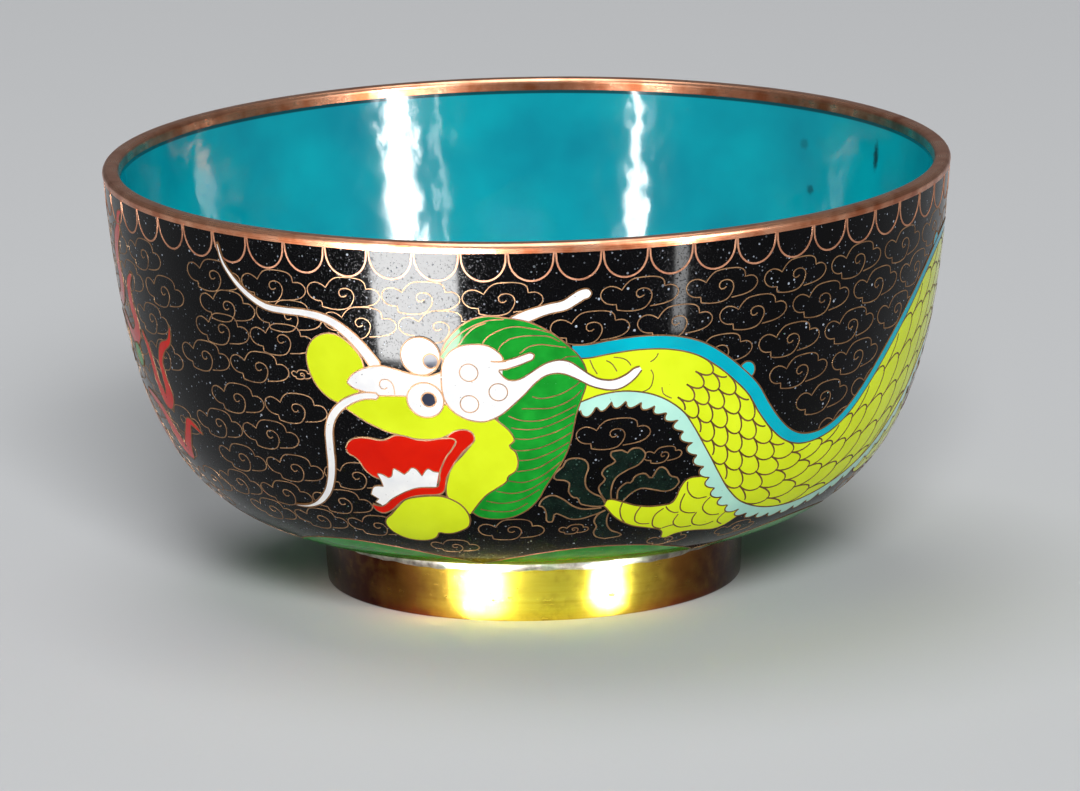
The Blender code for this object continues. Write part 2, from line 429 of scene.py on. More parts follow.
def make_piece(name, points, quads, material, merge=0.0005 * MM):
    """A mesh object from an array of points and an array of quads, its doubles merged and its faces out."""
    mesh = bpy.data.meshes.new(name)
    mesh.vertices.add(len(points))
    mesh.vertices.foreach_set("co", points.astype(np.float32).ravel())
    mesh.loops.add(quads.size)
    mesh.loops.foreach_set("vertex_index", quads.astype(np.int32).ravel())
    mesh.polygons.add(len(quads))
    mesh.polygons.foreach_set("loop_start", np.arange(0, quads.size, 4, dtype=np.int32))
    mesh.update(calc_edges=True)
    edit = bmesh.new()
    edit.from_mesh(mesh)
    bmesh.ops.remove_doubles(edit, verts=edit.verts, dist=merge)
    bmesh.ops.recalc_face_normals(edit, faces=edit.faces)
    open_edges = sum(not edge.is_manifold for edge in edit.edges)
    edit.to_mesh(mesh)
    edit.free()
    mesh.shade_smooth()
    mesh.set_sharp_from_angle(angle=SHARP)
    mesh.materials.append(material)
    piece = bpy.data.objects.new(name, mesh)
    bpy.context.scene.collection.objects.link(piece)
    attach(piece, "root")
    triangles = sum(len(face.vertices) - 2 for face in mesh.polygons)
    print(f"{name}: {triangles} triangles, {open_edges} open edges")
    return piece


def grid_quads(rows, columns, ring_rows, ring_columns, start=0):
    """Quads between neighbouring points of a grid; a ring joins its last row or column to its first."""
    row = np.arange(rows if ring_rows else rows - 1)[:, None]
    column = np.arange(columns if ring_columns else columns - 1)[None, :]
    next_row, next_column = (row + 1) % rows, (column + 1) % columns
    corners = [row * columns + column, next_row * columns + column,
               next_row * columns + next_column, row * columns + next_column]
    return np.stack(np.broadcast_arrays(*corners), -1).reshape(-1, 4) + start


def turned(name, profile, material, replaces=None, wobble=None):
    """A closed body turned about the axis: radius and height against the angle. A profile whose ends lie on
    the axis is closed by its poles, and any other profile is joined end to end."""
    profile = np.asarray(profile, float)
    angle = np.linspace(0, 2 * math.pi, TURN_STEPS, endpoint=False)[:, None]
    radius, height = profile[None, :, 0], profile[None, :, 1]
    if wobble is not None:
        radius, height = wobble(angle, radius, height)
    grid = np.stack(np.broadcast_arrays(radius * np.sin(angle), -radius * np.cos(angle), height), -1)
    on_axis = abs(profile[0, 0]) < 1e-9 and abs(profile[-1, 0]) < 1e-9
    quads = grid_quads(TURN_STEPS, len(profile), True, not on_axis)
    piece = make_piece(name, grid.reshape(-1, 3), quads, material)
    if replaces:
        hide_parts(replaces)
    return piece


def arc(centre, radius, start, end, count=8):
    """Points on an arc in the profile's plane, its angles in degrees from outwards towards up."""
    angle = np.radians(np.linspace(start, end, count))
    return np.stack([centre[0] + radius * np.cos(angle), centre[1] + radius * np.sin(angle)], -1)


def wall_run(start, end, lift, step=0.9):
    """The wall's profile between two distances down, at a lift, a point about every step millimetres."""
    down = np.linspace(start, end, max(2, int(abs(end - start) / step) + 1))
    return np.stack(wall(down, lift), -1)


# %% Copper rim, black ground, lining and base
LIP_BAND = 1.3                  # millimetres of bare copper below the rim
LIP_INSIDE = 1.8
LIP_ROUND = 0.7 * MM
HIDDEN_STEP = 3.0
FOOT_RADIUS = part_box("foot_ring")[1].x
FOOT_INNER = FOOT_RADIUS - 1.5 * MM
MIDDLE = float(wall_down[-1])
foot_down = down_at(FOOT_RADIUS)


def copper_bowl():
    """From the middle of the floor up inside, over the rounded lip, and down outside to the middle again."""
    lip_in = RIM_RADIUS - LINING_DEPTH
    inside = wall_run(LIP_INSIDE + 0.6, MIDDLE, -COPPER_DEPTH - COPPER_WALL, HIDDEN_STEP)[::-1]
    inside[0, 0] = 0
    over = np.concatenate([
        wall_run(LIP_INSIDE + 0.6, LIP_INSIDE, -LINING_DEPTH)[:1],
        arc((lip_in + LIP_ROUND, RIM_HEIGHT - LIP_ROUND), LIP_ROUND, 180, 90),
        arc((RIM_RADIUS - LIP_ROUND, RIM_HEIGHT - LIP_ROUND), LIP_ROUND, 90, 0),
        wall_run(LIP_BAND, LIP_BAND + 0.4, 0.0)[:1],
        wall_run(LIP_BAND, LIP_BAND + 0.4, -0.1 * MM)[:1],
    ])
    outside = wall_run(LIP_BAND + 0.6, MIDDLE, -COPPER_DEPTH, HIDDEN_STEP)
    outside[-1, 0] = 0
    return np.concatenate([inside, over, outside])


def black_ground():
    """Down the outer surface from the copper band to the foot, and back up against the copper."""
    edge = foot_down + 0.6
    face = wall_run(LIP_BAND, edge, 0.0)
    back = wall_run(LIP_BAND, edge, -COPPER_DEPTH, HIDDEN_STEP)[::-1]
    return np.concatenate([face, back])


def lining():
    """From the middle of the floor up the glossy side, over its edge, and down against the copper."""
    face = wall_run(LIP_INSIDE, MIDDLE, -LINING_DEPTH)[::-1]
    back = wall_run(LIP_INSIDE, MIDDLE, -COPPER_DEPTH - COPPER_WALL, HIDDEN_STEP)
    face[0, 0] = back[-1, 0] = 0
    return np.concatenate([face, back])


def base_disc():
    """The plain enamel inside the foot: out along the copper from the middle, and back on its open side."""
    start = down_at(FOOT_INNER)
    top = wall_run(start, MIDDLE, -COPPER_DEPTH, HIDDEN_STEP)[::-1]
    face = wall_run(start, MIDDLE, 0.0)
    top[0, 0] = face[-1, 0] = 0
    return np.concatenate([top, face])


turned("copper_rim_and_shell", copper_bowl(), COPPER, "copper_bowl")
turned("black_ground", black_ground(), BLACK, "outer_enamel")
turned("turquoise_lining", lining(), LINING, "inner_enamel")
turned("turquoise_base", base_disc(), LINING, "base_enamel")

# %% [markdown]
# The foot is a strip of brass bent round, soldered on and turned true: a slight swell outside, small bevels
# at the floor. Solder has run out along its upper edge and was never cleaned off, so it stands there as a
# grey bead of uneven thickness. A sum of four sines of the angle makes that unevenness, the same every run.

# %% Foot ring and solder
FOOT_DRAFT, FOOT_BEVEL = 0.3 * MM, 0.3 * MM
SOLDER_HEIGHT, SOLDER_ACROSS, SOLDER_TALL = 7.7 * MM, 0.46 * MM, 0.78 * MM
SWELLS = ((5, 0.1), (16, 0.08), (37, 0.07), (61, 0.04))     # waves round the ring and their share


def foot_ring():
    """Outer side from the top down with a slight swell, the bevelled edge, and the inner side up."""
    top = float(wall(foot_down, -0.1 * MM)[1])
    climb = np.linspace(1, 0, 12)
    drafted = FOOT_RADIUS - FOOT_DRAFT * (1 - climb) ** 2
    outer = np.stack([drafted, FOOT_BEVEL + (top - FOOT_BEVEL) * climb], -1)
    floor = FOOT_RADIUS - FOOT_DRAFT
    edge = arc((floor - FOOT_BEVEL, FOOT_BEVEL), FOOT_BEVEL, 0, -90, 5)[1:]
    heel = arc((FOOT_INNER + FOOT_BEVEL, FOOT_BEVEL), FOOT_BEVEL, -90, -180, 5)
    inner_top = float(wall(down_at(FOOT_INNER), -0.1 * MM)[1])
    return np.concatenate([outer, edge, heel, [(FOOT_INNER, inner_top)]])


def uneven(angle, radius, height):
    """Swells the bead's section about its own middle by up to a third, in waves round the ring."""
    swell = sum(size * np.sin(waves * angle + waves) for waves, size in SWELLS)
    middle = FOOT_RADIUS - 0.05 * MM
    return (middle + (radius - middle) * (1 + swell),
            SOLDER_HEIGHT + (height - SOLDER_HEIGHT) * (1 + swell))


bead = arc((0, 0), 1.0, 0, 360, 11)[:-1] * np.array([SOLDER_ACROSS, SOLDER_TALL])
bead += np.array([FOOT_RADIUS, SOLDER_HEIGHT])
turned("foot_ring_brass", foot_ring(), BRASS, "foot_ring")
turned("solder_bead", bead, SOLDER, wobble=uneven)

# %% [markdown]
# Drawing on the wall. A line is a few given points, joined by a smooth curve. A cell is a thin
# closed pad: a grid between two edges, or between an outline and its middle, given a top and an underside
# that sinks into the ground. A wire is the same thing with only two points across. Cells lie in levels a few
# hundredths of a millimetre apart, so that an eye covers the brow and a cell covers the wires beneath it,
# which saves cutting the cells to each other.

# %% Smooth lines and pads
LEVEL_STEP = 0.028 * MM
FIRST_LEVEL = 0.036 * MM
WIRE_ABOVE_CELL = 0.015 * MM
UNDER_GROUND = -0.06 * MM
WIRE_WIDTH = 0.24
STRAND_WIDTH = 0.2
THIN_WIDTH = 0.18
CELL_STEP = 0.8                 # millimetres between the points inside a cell, and along a line
LINE_STEP = 0.45
SPLINE_STEPS = 16


def wide(down):
    """Millimetres to one degree, at a distance down the wall."""
    return np.interp(down, wall_down, wall_radius) / MM * math.pi / 180


def lengths(line):
    """Distance along a line of the drawing, in millimetres, at each of its points."""
    step = np.diff(line, axis=0)
    middle = (line[1:, 1] + line[:-1, 1]) / 2
    return np.concatenate([[0], np.cumsum(np.hypot(step[:, 0] * wide(middle), step[:, 1]))])


def evenly(line, count):
    """The same line with this many points, evenly spaced along it."""
    along = lengths(line)
    wanted = np.linspace(0, along[-1], count)
    return np.stack([np.interp(wanted, along, line[:, axis]) for axis in (0, 1)], -1)


def spline(points, closed=False):
    """A smooth line through points: between two of them runs the cubic whose slope at each point is half
    the chord between that point's neighbours (a Catmull-Rom spline), in equal steps of its parameter."""
    p = np.asarray(points, float)
    if closed:
        around_each = [np.roll(p, shift, 0) for shift in (1, 0, -1, -2)]
    else:
        around_each = [np.vstack([p[:1], p[:-2]]), p[:-1], p[1:], np.vstack([p[2:], p[-1:]])]
    a, b, c, d = [v[:, None] for v in around_each]
    t = np.linspace(0, 1, SPLINE_STEPS, endpoint=False)[None, :, None]
    square, cube = 2 * a - 5 * b + 4 * c - d, 3 * b - a - 3 * c + d
    line = 0.5 * (2 * b + (c - a) * t + square * t ** 2 + cube * t ** 3)
    return np.vstack([line.reshape(-1, 2), p[:1] if closed else p[-1:]])


def smooth(points, closed=False, step=LINE_STEP, count=None):
    """The spline through points, evenly spaced: a point about every step millimetres, or this many."""
    line = spline(points, closed)
    return evenly(line, count or max(4, int(lengths(line)[-1] / step) + 1))


def strokes(*parts, step=LINE_STEP):
    """Several smooth lines joined end to end, with a corner wherever one meets the next."""
    lines = [smooth(part, step=step) for part in parts]
    return np.vstack([lines[0]] + [line[1:] for line in lines[1:]])


def beside(line, distance):
    """The line moved sideways by millimetres, towards the rim where it runs to the right."""
    slope = np.gradient(line, axis=0)
    scale = wide(line[:, 1])
    across = np.stack([slope[:, 1], -slope[:, 0] * scale], -1)
    across /= np.maximum(np.hypot(across[:, 0], across[:, 1]), 1e-9)[:, None]
    moved = across * np.broadcast_to(distance, (len(line),))[:, None]
    return line + np.stack([moved[:, 0] / scale, moved[:, 1]], -1)


def circle(degrees, down, radius, count=40, flat=1.0):
    """A circle of millimetres round a point of the drawing; flat squeezes its height."""
    angle = np.linspace(0, 2 * math.pi, count, endpoint=False)
    across, along = radius * np.cos(angle), radius * flat * np.sin(angle)
    return np.stack([degrees + across / wide(down), down + along], -1)


class Inlay:
    """Many small closed surfaces of one finish, gathered into one mesh."""

    outlines = []               # every cell's outline, so that the cloud wires can stop at it

    def __init__(self, name, material, slot):
        self.name, self.material, self.slot = name, material, slot
        self.points, self.quads, self.total = [], [], 0

    def add(self, grid, ring_rows, ring_columns):
        rows, columns = grid.shape[:2]
        self.points.append(grid.reshape(-1, 3))
        self.quads.append(grid_quads(rows, columns, ring_rows, ring_columns, self.total))
        if ring_columns and not ring_rows:
            half = np.arange(columns // 2 - 1)
            cap = np.stack([half, half + 1, columns - 2 - half, columns - 1 - half], -1)
            self.quads += [cap + self.total, cap[:, ::-1] + self.total + (rows - 1) * columns]
        self.total += rows * columns

    def between(self, one, other, level=0, closed=False, step=CELL_STEP):
        """A pad between two edges with as many points each: straight rulings from one edge to the other."""
        if not closed:
            Inlay.outlines.append(np.vstack([one, other[::-1]]))
        gap = np.abs(one - other)
        widest = float(np.hypot(gap[:, 0] * wide(one[:, 1]), gap[:, 1]).max())
        share = np.linspace(0, 1, max(2, int(widest / step) + 1))[None, :, None]
        drawing = one[:, None] * (1 - share) + other[:, None] * share
        top = on_bowl(drawing, FIRST_LEVEL + level * LEVEL_STEP)
        under = on_bowl(drawing, UNDER_GROUND)[:, ::-1]
        self.add(np.concatenate([top, under], 1), closed, True)

    def inside(self, outline, level=0, middle=None):
        """A pad inside an outline: rings between the outline and its middle."""
        Inlay.outlines.append(outline)
        middle = outline.mean(0) if middle is None else np.asarray(middle, float)
        reach = float(np.abs(outline - middle).max())
        share = np.linspace(0, 1, max(3, int(reach / CELL_STEP) + 1))[None, :, None]
        drawing = middle + (outline[:, None] - middle) * share
        top = on_bowl(drawing, FIRST_LEVEL + level * LEVEL_STEP)
        under = on_bowl(drawing, UNDER_GROUND)[:, ::-1]
        self.add(np.concatenate([top, under], 1), True, False)

    def wire(self, line, level=0, closed=False, width=WIRE_WIDTH, lift=None):
        """A flat-topped wire along a line: a section of four points, narrower at the top, across the line's
        own direction on the bowl."""
        lift = FIRST_LEVEL + level * LEVEL_STEP + WIRE_ABOVE_CELL if lift is None else lift
        place, above = on_bowl(line), on_bowl(line, 1.0) - on_bowl(line)
        ahead = np.roll(place, -1, 0) - np.roll(place, 1, 0)
        if not closed:
            ahead[0], ahead[-1] = place[1] - place[0], place[-1] - place[-2]
        side = np.cross(ahead, above)
        side /= np.linalg.norm(side, axis=1)[:, None]
        half = width * MM / 2
        section = [(-half * 0.8, lift), (half * 0.8, lift), (half, UNDER_GROUND), (-half, UNDER_GROUND)]
        grid = np.stack([place + side * x + above * y for x, y in section], 1)
        self.add(grid, closed, True)

    def finish(self):
        return make_piece(self.name, np.vstack(self.points), np.vstack(self.quads), self.material)


yellow = Inlay("yellow_cells", YELLOW, "yellow_enamel")
green = Inlay("green_cells", GREEN, "green_enamel")
turquoise = Inlay("turquoise_cells", TURQUOISE, "turquoise_enamel")
pale_blue = Inlay("pale_blue_cells", PALE_BLUE, "pale_blue_enamel")
white = Inlay("white_cells", WHITE, "white_enamel")
red = Inlay("red_cells", RED, "red_enamel")
claw_green = Inlay("claw_cells", CLAW_GREEN, "green_enamel")
pupils = Inlay("pupil_cells", PUPIL, "black_enamel")
dragon_wire = Inlay("dragon_wires", TONED_WIRE, "inlaid_wire")
cloud_wire = Inlay("cloud_wires", WIRE, "inlaid_wire")


def cell(inlay, one, other, level=0, wires=dragon_wire):
    """A cell between two given edges, with a wire along each."""
    lines = [smooth(edge) for edge in (one, other)]
    one, other = [evenly(line, max(len(line) for line in lines)) for line in lines]
    inlay.between(one, other, level)
    wires.wire(one, level)
    wires.wire(other, level)


def blob(inlay, points, level=0, middle=None):
    """A cell inside a given closed outline, with its wire."""
    outline = smooth(points, closed=True)[:-1]
    inlay.inside(outline, level, middle)
    dragon_wire.wire(outline, level, closed=True)


def spot(inlay, degrees, down, radius, level, flat=1.0):
    """A round cell with its wire."""
    outline = circle(degrees, down, radius, flat=flat)
    inlay.inside(outline, level)
    dragon_wire.wire(outline, level, closed=True)


def lash(inlay, points, widths, level=0, closed=True):
    """A cell that follows a middle line, as wide along it as the widths say, with round ends and a wire."""
    line = smooth(points, step=0.3)
    along = lengths(line)
    half = np.interp(np.linspace(0, 1, len(line)), np.linspace(0, 1, len(widths)), widths) / 2
    to_end = np.minimum(along, along[-1] - along)
    half *= np.sqrt(np.clip(1 - (1 - to_end / half) ** 2, 0.06, 1) * (to_end < half) + (to_end >= half))
    one, other = beside(line, half), beside(line, -half)
    inlay.between(one, other, level)
    dragon_wire.wire(np.vstack([one, other[::-1]]), level, closed)


# %% [markdown]
# The dragon's body is one long band that rises and falls round the bowl. Pairs of points, one on its back
# and one on its belly, say where it runs and how wide it is; the hidden half carries on in the same rhythm
# down to the tail. The turquoise back, the pale blue belly with its scalloped edge and every scale are
# worked out from the two edges.

# %% Body, back and belly
BODY = [  # degrees and millimetres down of the back, then of the belly
    (5.6, 15.7, 5.8, 22.2), (8.0, 15.7, 7.6, 21.5), (10.8, 15.3, 9.6, 20.9), (14.8, 15.0, 12.6, 20.6),
    (19.0, 15.3, 15.9, 21.1), (22.8, 16.4, 18.8, 22.3), (26.0, 18.3, 21.5, 24.3), (28.9, 20.6, 23.5, 26.9),
    (31.5, 23.0, 25.1, 29.3), (33.7, 25.9, 26.7, 31.6), (36.3, 28.6, 28.7, 34.4), (39.3, 30.8, 31.4, 37.6),
    (42.7, 32.0, 35.2, 40.5), (46.5, 32.0, 41.0, 42.6), (50.0, 31.0, 47.5, 43.2), (53.2, 29.0, 54.0, 42.2),
    (56.5, 25.8, 60.0, 40.2), (59.8, 22.4, 65.3, 37.4), (63.4, 19.1, 69.6, 33.8), (67.5, 15.8, 73.4, 29.8),
    (72.0, 12.8, 77.0, 25.6), (77.0, 10.7, 81.0, 22.6), (83.0, 9.8, 85.0, 21.6), (89.0, 10.8, 88.4, 22.0),
    (95.0, 13.8, 91.4, 24.4), (101.0, 18.6, 94.5, 28.2), (106.0, 23.8, 98.2, 32.6),
    (112.0, 28.2, 103.5, 37.2), (119.0, 30.6, 111.0, 41.2), (127.0, 31.0, 121.0, 42.8),
    (135.0, 29.2, 131.0, 41.8), (142.0, 25.8, 140.0, 38.6), (149.0, 21.0, 149.5, 33.6),
    (156.0, 16.6, 158.0, 28.2), (164.0, 13.6, 167.0, 24.4), (173.0, 13.0, 175.0, 23.0),
    (182.0, 15.0, 182.0, 24.2), (190.0, 19.2, 187.6, 27.0), (196.5, 24.0, 192.8, 30.6),
    (203.0, 27.8, 200.0, 33.4), (210.0, 29.4, 208.6, 33.8), (217.0, 27.6, 217.6, 31.2),
    (223.0, 23.6, 224.6, 26.2), (228.0, 18.8, 229.4, 20.6), (231.0, 15.0, 231.6, 15.6),
]
NECK_BAND, BACK_BAND = 1.85, 1.3    # how far the turquoise stands out from the back, in millimetres
NECK_ENDS = (30, 44)                # degrees between which the back band narrows from the one to the other
BELLY_BAND = 1.05
LOBE_PITCH, LOBE_DEPTH, LOBE_LEAN = 2.3, 1.3, 0.5
FINE_STEP, BAND_STEP = 0.22, 0.35
TAIL_LENGTH, TAIL_SHARE = 40, 0.35  # over this length the bands shrink to this share

# Not spaced evenly, so that the back and the belly keep facing each other point for point.
body = np.array(BODY)
back, belly = spline(body[:, :2]), spline(body[:, 2:])
spine = (back + belly) / 2
spine_length = lengths(spine)
gap = back - belly
body_width = np.hypot(gap[:, 0] * wide(spine[:, 1]), gap[:, 1])
print(f"dragon's body {spine_length[-1]:.0f} mm long, {body_width.max():.1f} mm wide")

# %% Bands of the back and the belly
total = spine_length[-1]
fade = np.interp(spine_length, [0, total - TAIL_LENGTH, total], [1, 1, TAIL_SHARE])
outer_back = beside(back, np.interp(spine[:, 0], NECK_ENDS, [NECK_BAND, BACK_BAND]) * fade)

belly_length = lengths(belly)
fine = np.linspace(0, belly_length[-1], int(belly_length[-1] / FINE_STEP))
belly_fine = np.stack([np.interp(fine, belly_length, belly[:, axis]) for axis in (0, 1)], -1)
# Round lobes: the root of a sine's size. Each leans a little, as its notches are moved along the belly.
lobes = np.abs(np.sin(fine * math.pi / LOBE_PITCH)) ** 0.5
leant = fine + LOBE_LEAN * (1 - lobes)
belly_edge = beside(belly_fine, -(BELLY_BAND + lobes * LOBE_DEPTH) * np.interp(fine, belly_length, fade))
belly_edge += np.stack([np.interp(leant, fine, belly_fine[:, axis]) for axis in (0, 1)], -1) - belly_fine

yellow.between(back, belly, 0)
turquoise.between(outer_back, back, 1)
pale_blue.between(belly_fine, belly_edge, 1)
for edge in (back, outer_back, belly_fine, belly_edge):
    step = FINE_STEP if edge is belly_edge else BAND_STEP
    dragon_wire.wire(evenly(edge, int(lengths(edge)[-1] / step)), 1)

# %% Buds on the back
BUD_RADIUS, BUD_POINTS, BUD_STRETCH = 0.68, 24, 0.75
BUD_LEVEL = 0.3                     # below the back band, which covers the bud's root
BUDS = ((30.4, 19.6, 0.0), (75.0, 9.3, 1.0), (114.4, 28.6, 0.3), (158.0, 14.4, -0.6))
for degrees, down, turn_by in BUDS:
    bud = circle(degrees, down, BUD_RADIUS, BUD_POINTS)
    away = np.linspace(0, 2 * math.pi, BUD_POINTS, endpoint=False) - turn_by
    bud += (bud - bud.mean(0)) * (np.cos(away) + 1)[:, None] * BUD_STRETCH
    turquoise.inside(bud, BUD_LEVEL)
    dragon_wire.wire(bud, BUD_LEVEL, closed=True)


# %% Scales
SCALE_ROWS, SCALE_LONG = 3.5, 1.02  # scales across the body, and each one's length to its width
SCALE_WIRE = 0.29
SCALE_BEND, SCALE_REACH = 96, 0.96  # half the arc of a scale in degrees, and how far it reaches in columns
FIRST_SCALE = 23.5                  # degrees round from the front; before it the neck has only strokes


def scale_columns():
    """How many columns of scales lie between the neck and each point of the spine: the length divided by
    the local pitch, added up, so that the scales shrink with the body."""
    pitch = body_width / SCALE_ROWS * SCALE_LONG
    return np.concatenate([[0], np.cumsum(np.diff(spine_length) / ((pitch[1:] + pitch[:-1]) / 2))])


def body_point(column, across):
    """A point of the body from its place along it, counted in columns, and across it from back to belly."""
    along = np.interp(column, columns, np.arange(len(back)))
    index = np.clip(along.astype(int), 0, len(back) - 2)
    share = (along - index)[:, None]
    upper = back[index] * (1 - share) + back[index + 1] * share
    lower = belly[index] * (1 - share) + belly[index + 1] * share
    return upper * (1 - across[:, None]) + lower * across[:, None]


columns = scale_columns()
bend = np.radians(np.linspace(-SCALE_BEND, SCALE_BEND, 13))
first_scale = int(np.interp(FIRST_SCALE, spine[:, 0], columns))
for column in range(first_scale, int(columns[-1]) - 2):
    for row in range(4):
        centre = (row + (0.5 if column % 2 else 0.0)) / SCALE_ROWS
        across = centre + np.sin(bend) * 0.5 / SCALE_ROWS
        along = column + np.cos(bend) * SCALE_REACH
        kept = (across > 0.0) & (across < 1.0)
        if kept.sum() > 3:
            dragon_wire.wire(body_point(along[kept], across[kept]), 0, width=SCALE_WIRE)

# %% [markdown]
# The mane is one green cell behind the head. Its strands are wires: below the horns each leaves the cheek,
# sags and rises to the outer edge, and above them they comb over the forehead in nested arcs. A rule between
# the two edges could give them, but no two are alike on the real bowl, so each is drawn one by one.

# %% Mane
MANE_OUTER = [(-12.0, 15.2), (-11.3, 13.3), (-9.8, 11.6), (-8.0, 10.3), (-5.8, 9.7), (-3.3, 9.9),
              (-0.5, 10.4), (1.8, 11.4), (3.6, 12.6), (5.2, 14.0), (6.6, 15.5), (7.5, 17.4), (7.5, 19.4),
              (6.9, 21.3), (6.2, 23.5), (5.8, 25.6), (5.3, 28.0), (4.4, 30.2), (3.2, 32.2), (1.9, 34.3),
              (1.0, 36.1), (-0.3, 37.7), (-1.9, 38.9), (-3.8, 39.7), (-6.2, 39.9), (-8.3, 39.5),
              (-9.5, 38.5)]
MANE_INNER = [(-12.0, 15.4), (-9.5, 18.0), (-6.0, 20.0), (-4.6, 24.0), (-4.2, 28.0), (-4.6, 32.0),
              (-7.0, 35.5), (-9.5, 38.4)]
STRANDS = (
    [(-11.9, 15.0), (-10.2, 12.9), (-8.0, 11.3), (-5.6, 10.3), (-3.4, 10.1)],
    [(-9.6, 13.8), (-8.6, 12.4), (-7.4, 11.3), (-5.8, 10.6)],
    [(-6.3, 13.4), (-5.7, 12.6), (-4.8, 12.0), (-3.5, 11.4), (-1.7, 11.1), (0.2, 11.4), (1.6, 11.7),
     (2.9, 12.1)],
    [(-4.2, 14.3), (-3.7, 13.5), (-2.4, 12.7), (-0.6, 12.4), (1.3, 12.4), (2.7, 12.6), (3.9, 13.3)],
    [(-1.4, 14.8), (-0.2, 13.9), (1.3, 13.6), (2.9, 13.8), (4.8, 14.1)],
    [(4.0, 15.9), (4.9, 15.4), (6.3, 15.4)],
    [(0.2, 20.8), (1.3, 21.1), (2.7, 20.9), (4.4, 20.4), (6.2, 19.3), (7.2, 18.3)],
    [(-1.3, 22.5), (0.5, 22.5), (2.5, 22.5), (4.2, 22.0), (5.7, 21.2), (6.9, 20.1)],
    [(-3.1, 23.5), (-1.7, 24.1), (0.2, 24.3), (2.2, 24.0), (4.0, 23.3), (6.2, 22.2)],
    [(-2.8, 25.2), (-1.0, 25.5), (1.0, 25.4), (3.4, 24.6), (5.9, 23.4)],
    [(-2.3, 26.8), (-0.3, 26.9), (2.6, 26.2), (4.3, 25.5), (5.7, 24.7)],
    [(-3.3, 28.2), (-1.8, 28.6), (0.8, 28.3), (3.4, 27.3), (5.5, 26.1)],
    [(-2.1, 30.1), (0.2, 29.9), (2.8, 28.9), (5.2, 27.5)],
    [(-2.2, 31.8), (0.7, 31.3), (3.1, 29.9), (4.8, 28.6)],
    [(-3.7, 33.2), (-1.2, 33.5), (1.4, 32.5), (4.1, 30.4)],
    [(-5.4, 34.9), (-3.0, 35.3), (-0.3, 34.6), (2.4, 32.8)],
    [(-7.0, 36.6), (-4.6, 37.0), (-1.8, 36.4), (1.0, 34.7)],
    [(-8.0, 38.1), (-5.5, 38.5), (-3.0, 38.3), (-0.8, 37.0)],
)
cell(green, MANE_OUTER, MANE_INNER, 2)
for strand in STRANDS:
    dragon_wire.wire(smooth(strand), 2, width=STRAND_WIDTH)

# %% [markdown]
# The face, seen from the side with both eyes showing, as on old embroidery. The order is the order of the
# levels: the yellow face over the mane, then the mouth, brow and forehead, then chin, teeth and eyes, and
# the pupils last. All of it is points read from the drawing; the teeth and lips are pairs of edges.

# %% Nose, cheek and chin
NOSE = [(-31.7, 17.0), (-31.3, 15.3), (-30.1, 13.8), (-28.2, 13.0), (-26.3, 13.2), (-24.6, 14.4),
        (-23.2, 16.2), (-23.0, 18.6), (-24.2, 21.0), (-26.4, 22.7), (-28.6, 22.2), (-30.3, 20.8),
        (-31.3, 19.0)]
FACE_TOP = [(-26.6, 23.0), (-24.5, 21.3), (-21.0, 19.6), (-17.0, 18.6), (-13.0, 18.2), (-9.0, 20.4),
            (-6.0, 23.0), (-4.3, 24.5), (-3.1, 25.6), (-2.4, 27.0), (-3.2, 27.9), (-2.3, 28.8),
            (-2.0, 30.3), (-2.4, 31.7), (-3.5, 32.5), (-3.8, 33.4), (-5.2, 34.4), (-6.8, 35.5),
            (-8.0, 36.8), (-9.5, 38.8)]
FACE_BOTTOM = [(-26.6, 23.2), (-25.0, 24.2), (-23.6, 25.0), (-22.0, 25.7), (-20.5, 26.3), (-18.9, 26.6),
               (-17.3, 27.0), (-14.9, 27.1), (-12.7, 26.8), (-10.5, 25.8), (-9.0, 26.0), (-8.3, 27.2),
               (-9.6, 29.0), (-11.5, 31.0), (-12.4, 33.0), (-12.9, 35.0), (-12.6, 36.4), (-10.9, 37.6),
               (-9.9, 39.0)]
CHIN = [(-24.2, 41.7), (-23.7, 40.6), (-22.6, 39.7), (-21.1, 38.2), (-19.5, 36.8), (-17.4, 36.2),
        (-15.0, 35.9), (-13.4, 36.0), (-11.9, 36.6), (-10.6, 37.7), (-9.9, 39.4), (-10.2, 41.2),
        (-11.5, 42.2), (-13.2, 42.9), (-14.8, 43.0), (-15.4, 42.8), (-16.2, 44.0), (-17.8, 44.8),
        (-19.9, 45.0), (-22.0, 44.5), (-23.6, 43.3)]
blob(yellow, NOSE, 2)
cell(yellow, FACE_TOP, FACE_BOTTOM, 3)
blob(yellow, CHIN, 5, (-17.5, 40.6))

# %% Mouth and teeth
LIP_OUTSIDE = [(-11.9, 26.6), (-11.3, 26.1), (-10.6, 25.7), (-9.7, 25.5), (-8.7, 25.6), (-8.1, 26.2),
               (-8.0, 27.0), (-8.6, 27.7), (-9.4, 28.4), (-10.3, 29.4), (-11.2, 30.6), (-12.0, 31.9),
               (-12.6, 33.1), (-12.9, 34.4), (-13.4, 35.3), (-14.6, 35.7), (-16.0, 35.8), (-17.8, 36.1),
               (-19.4, 36.7), (-20.6, 37.5), (-22.0, 38.7), (-23.0, 39.3), (-24.0, 39.6), (-25.0, 39.2),
               (-25.4, 38.3)]
LIP_INSIDE_LINE = [(-11.8, 26.8), (-11.2, 26.8), (-10.7, 27.0), (-10.7, 27.6), (-11.3, 28.4), (-12.3, 29.7),
                   (-13.0, 31.0), (-13.5, 32.3), (-13.8, 33.4), (-14.2, 34.4), (-16.9, 34.6), (-18.7, 35.2),
                   (-20.3, 36.0), (-21.8, 36.9), (-22.9, 37.8), (-23.7, 38.3), (-24.6, 38.3), (-25.3, 38.1)]
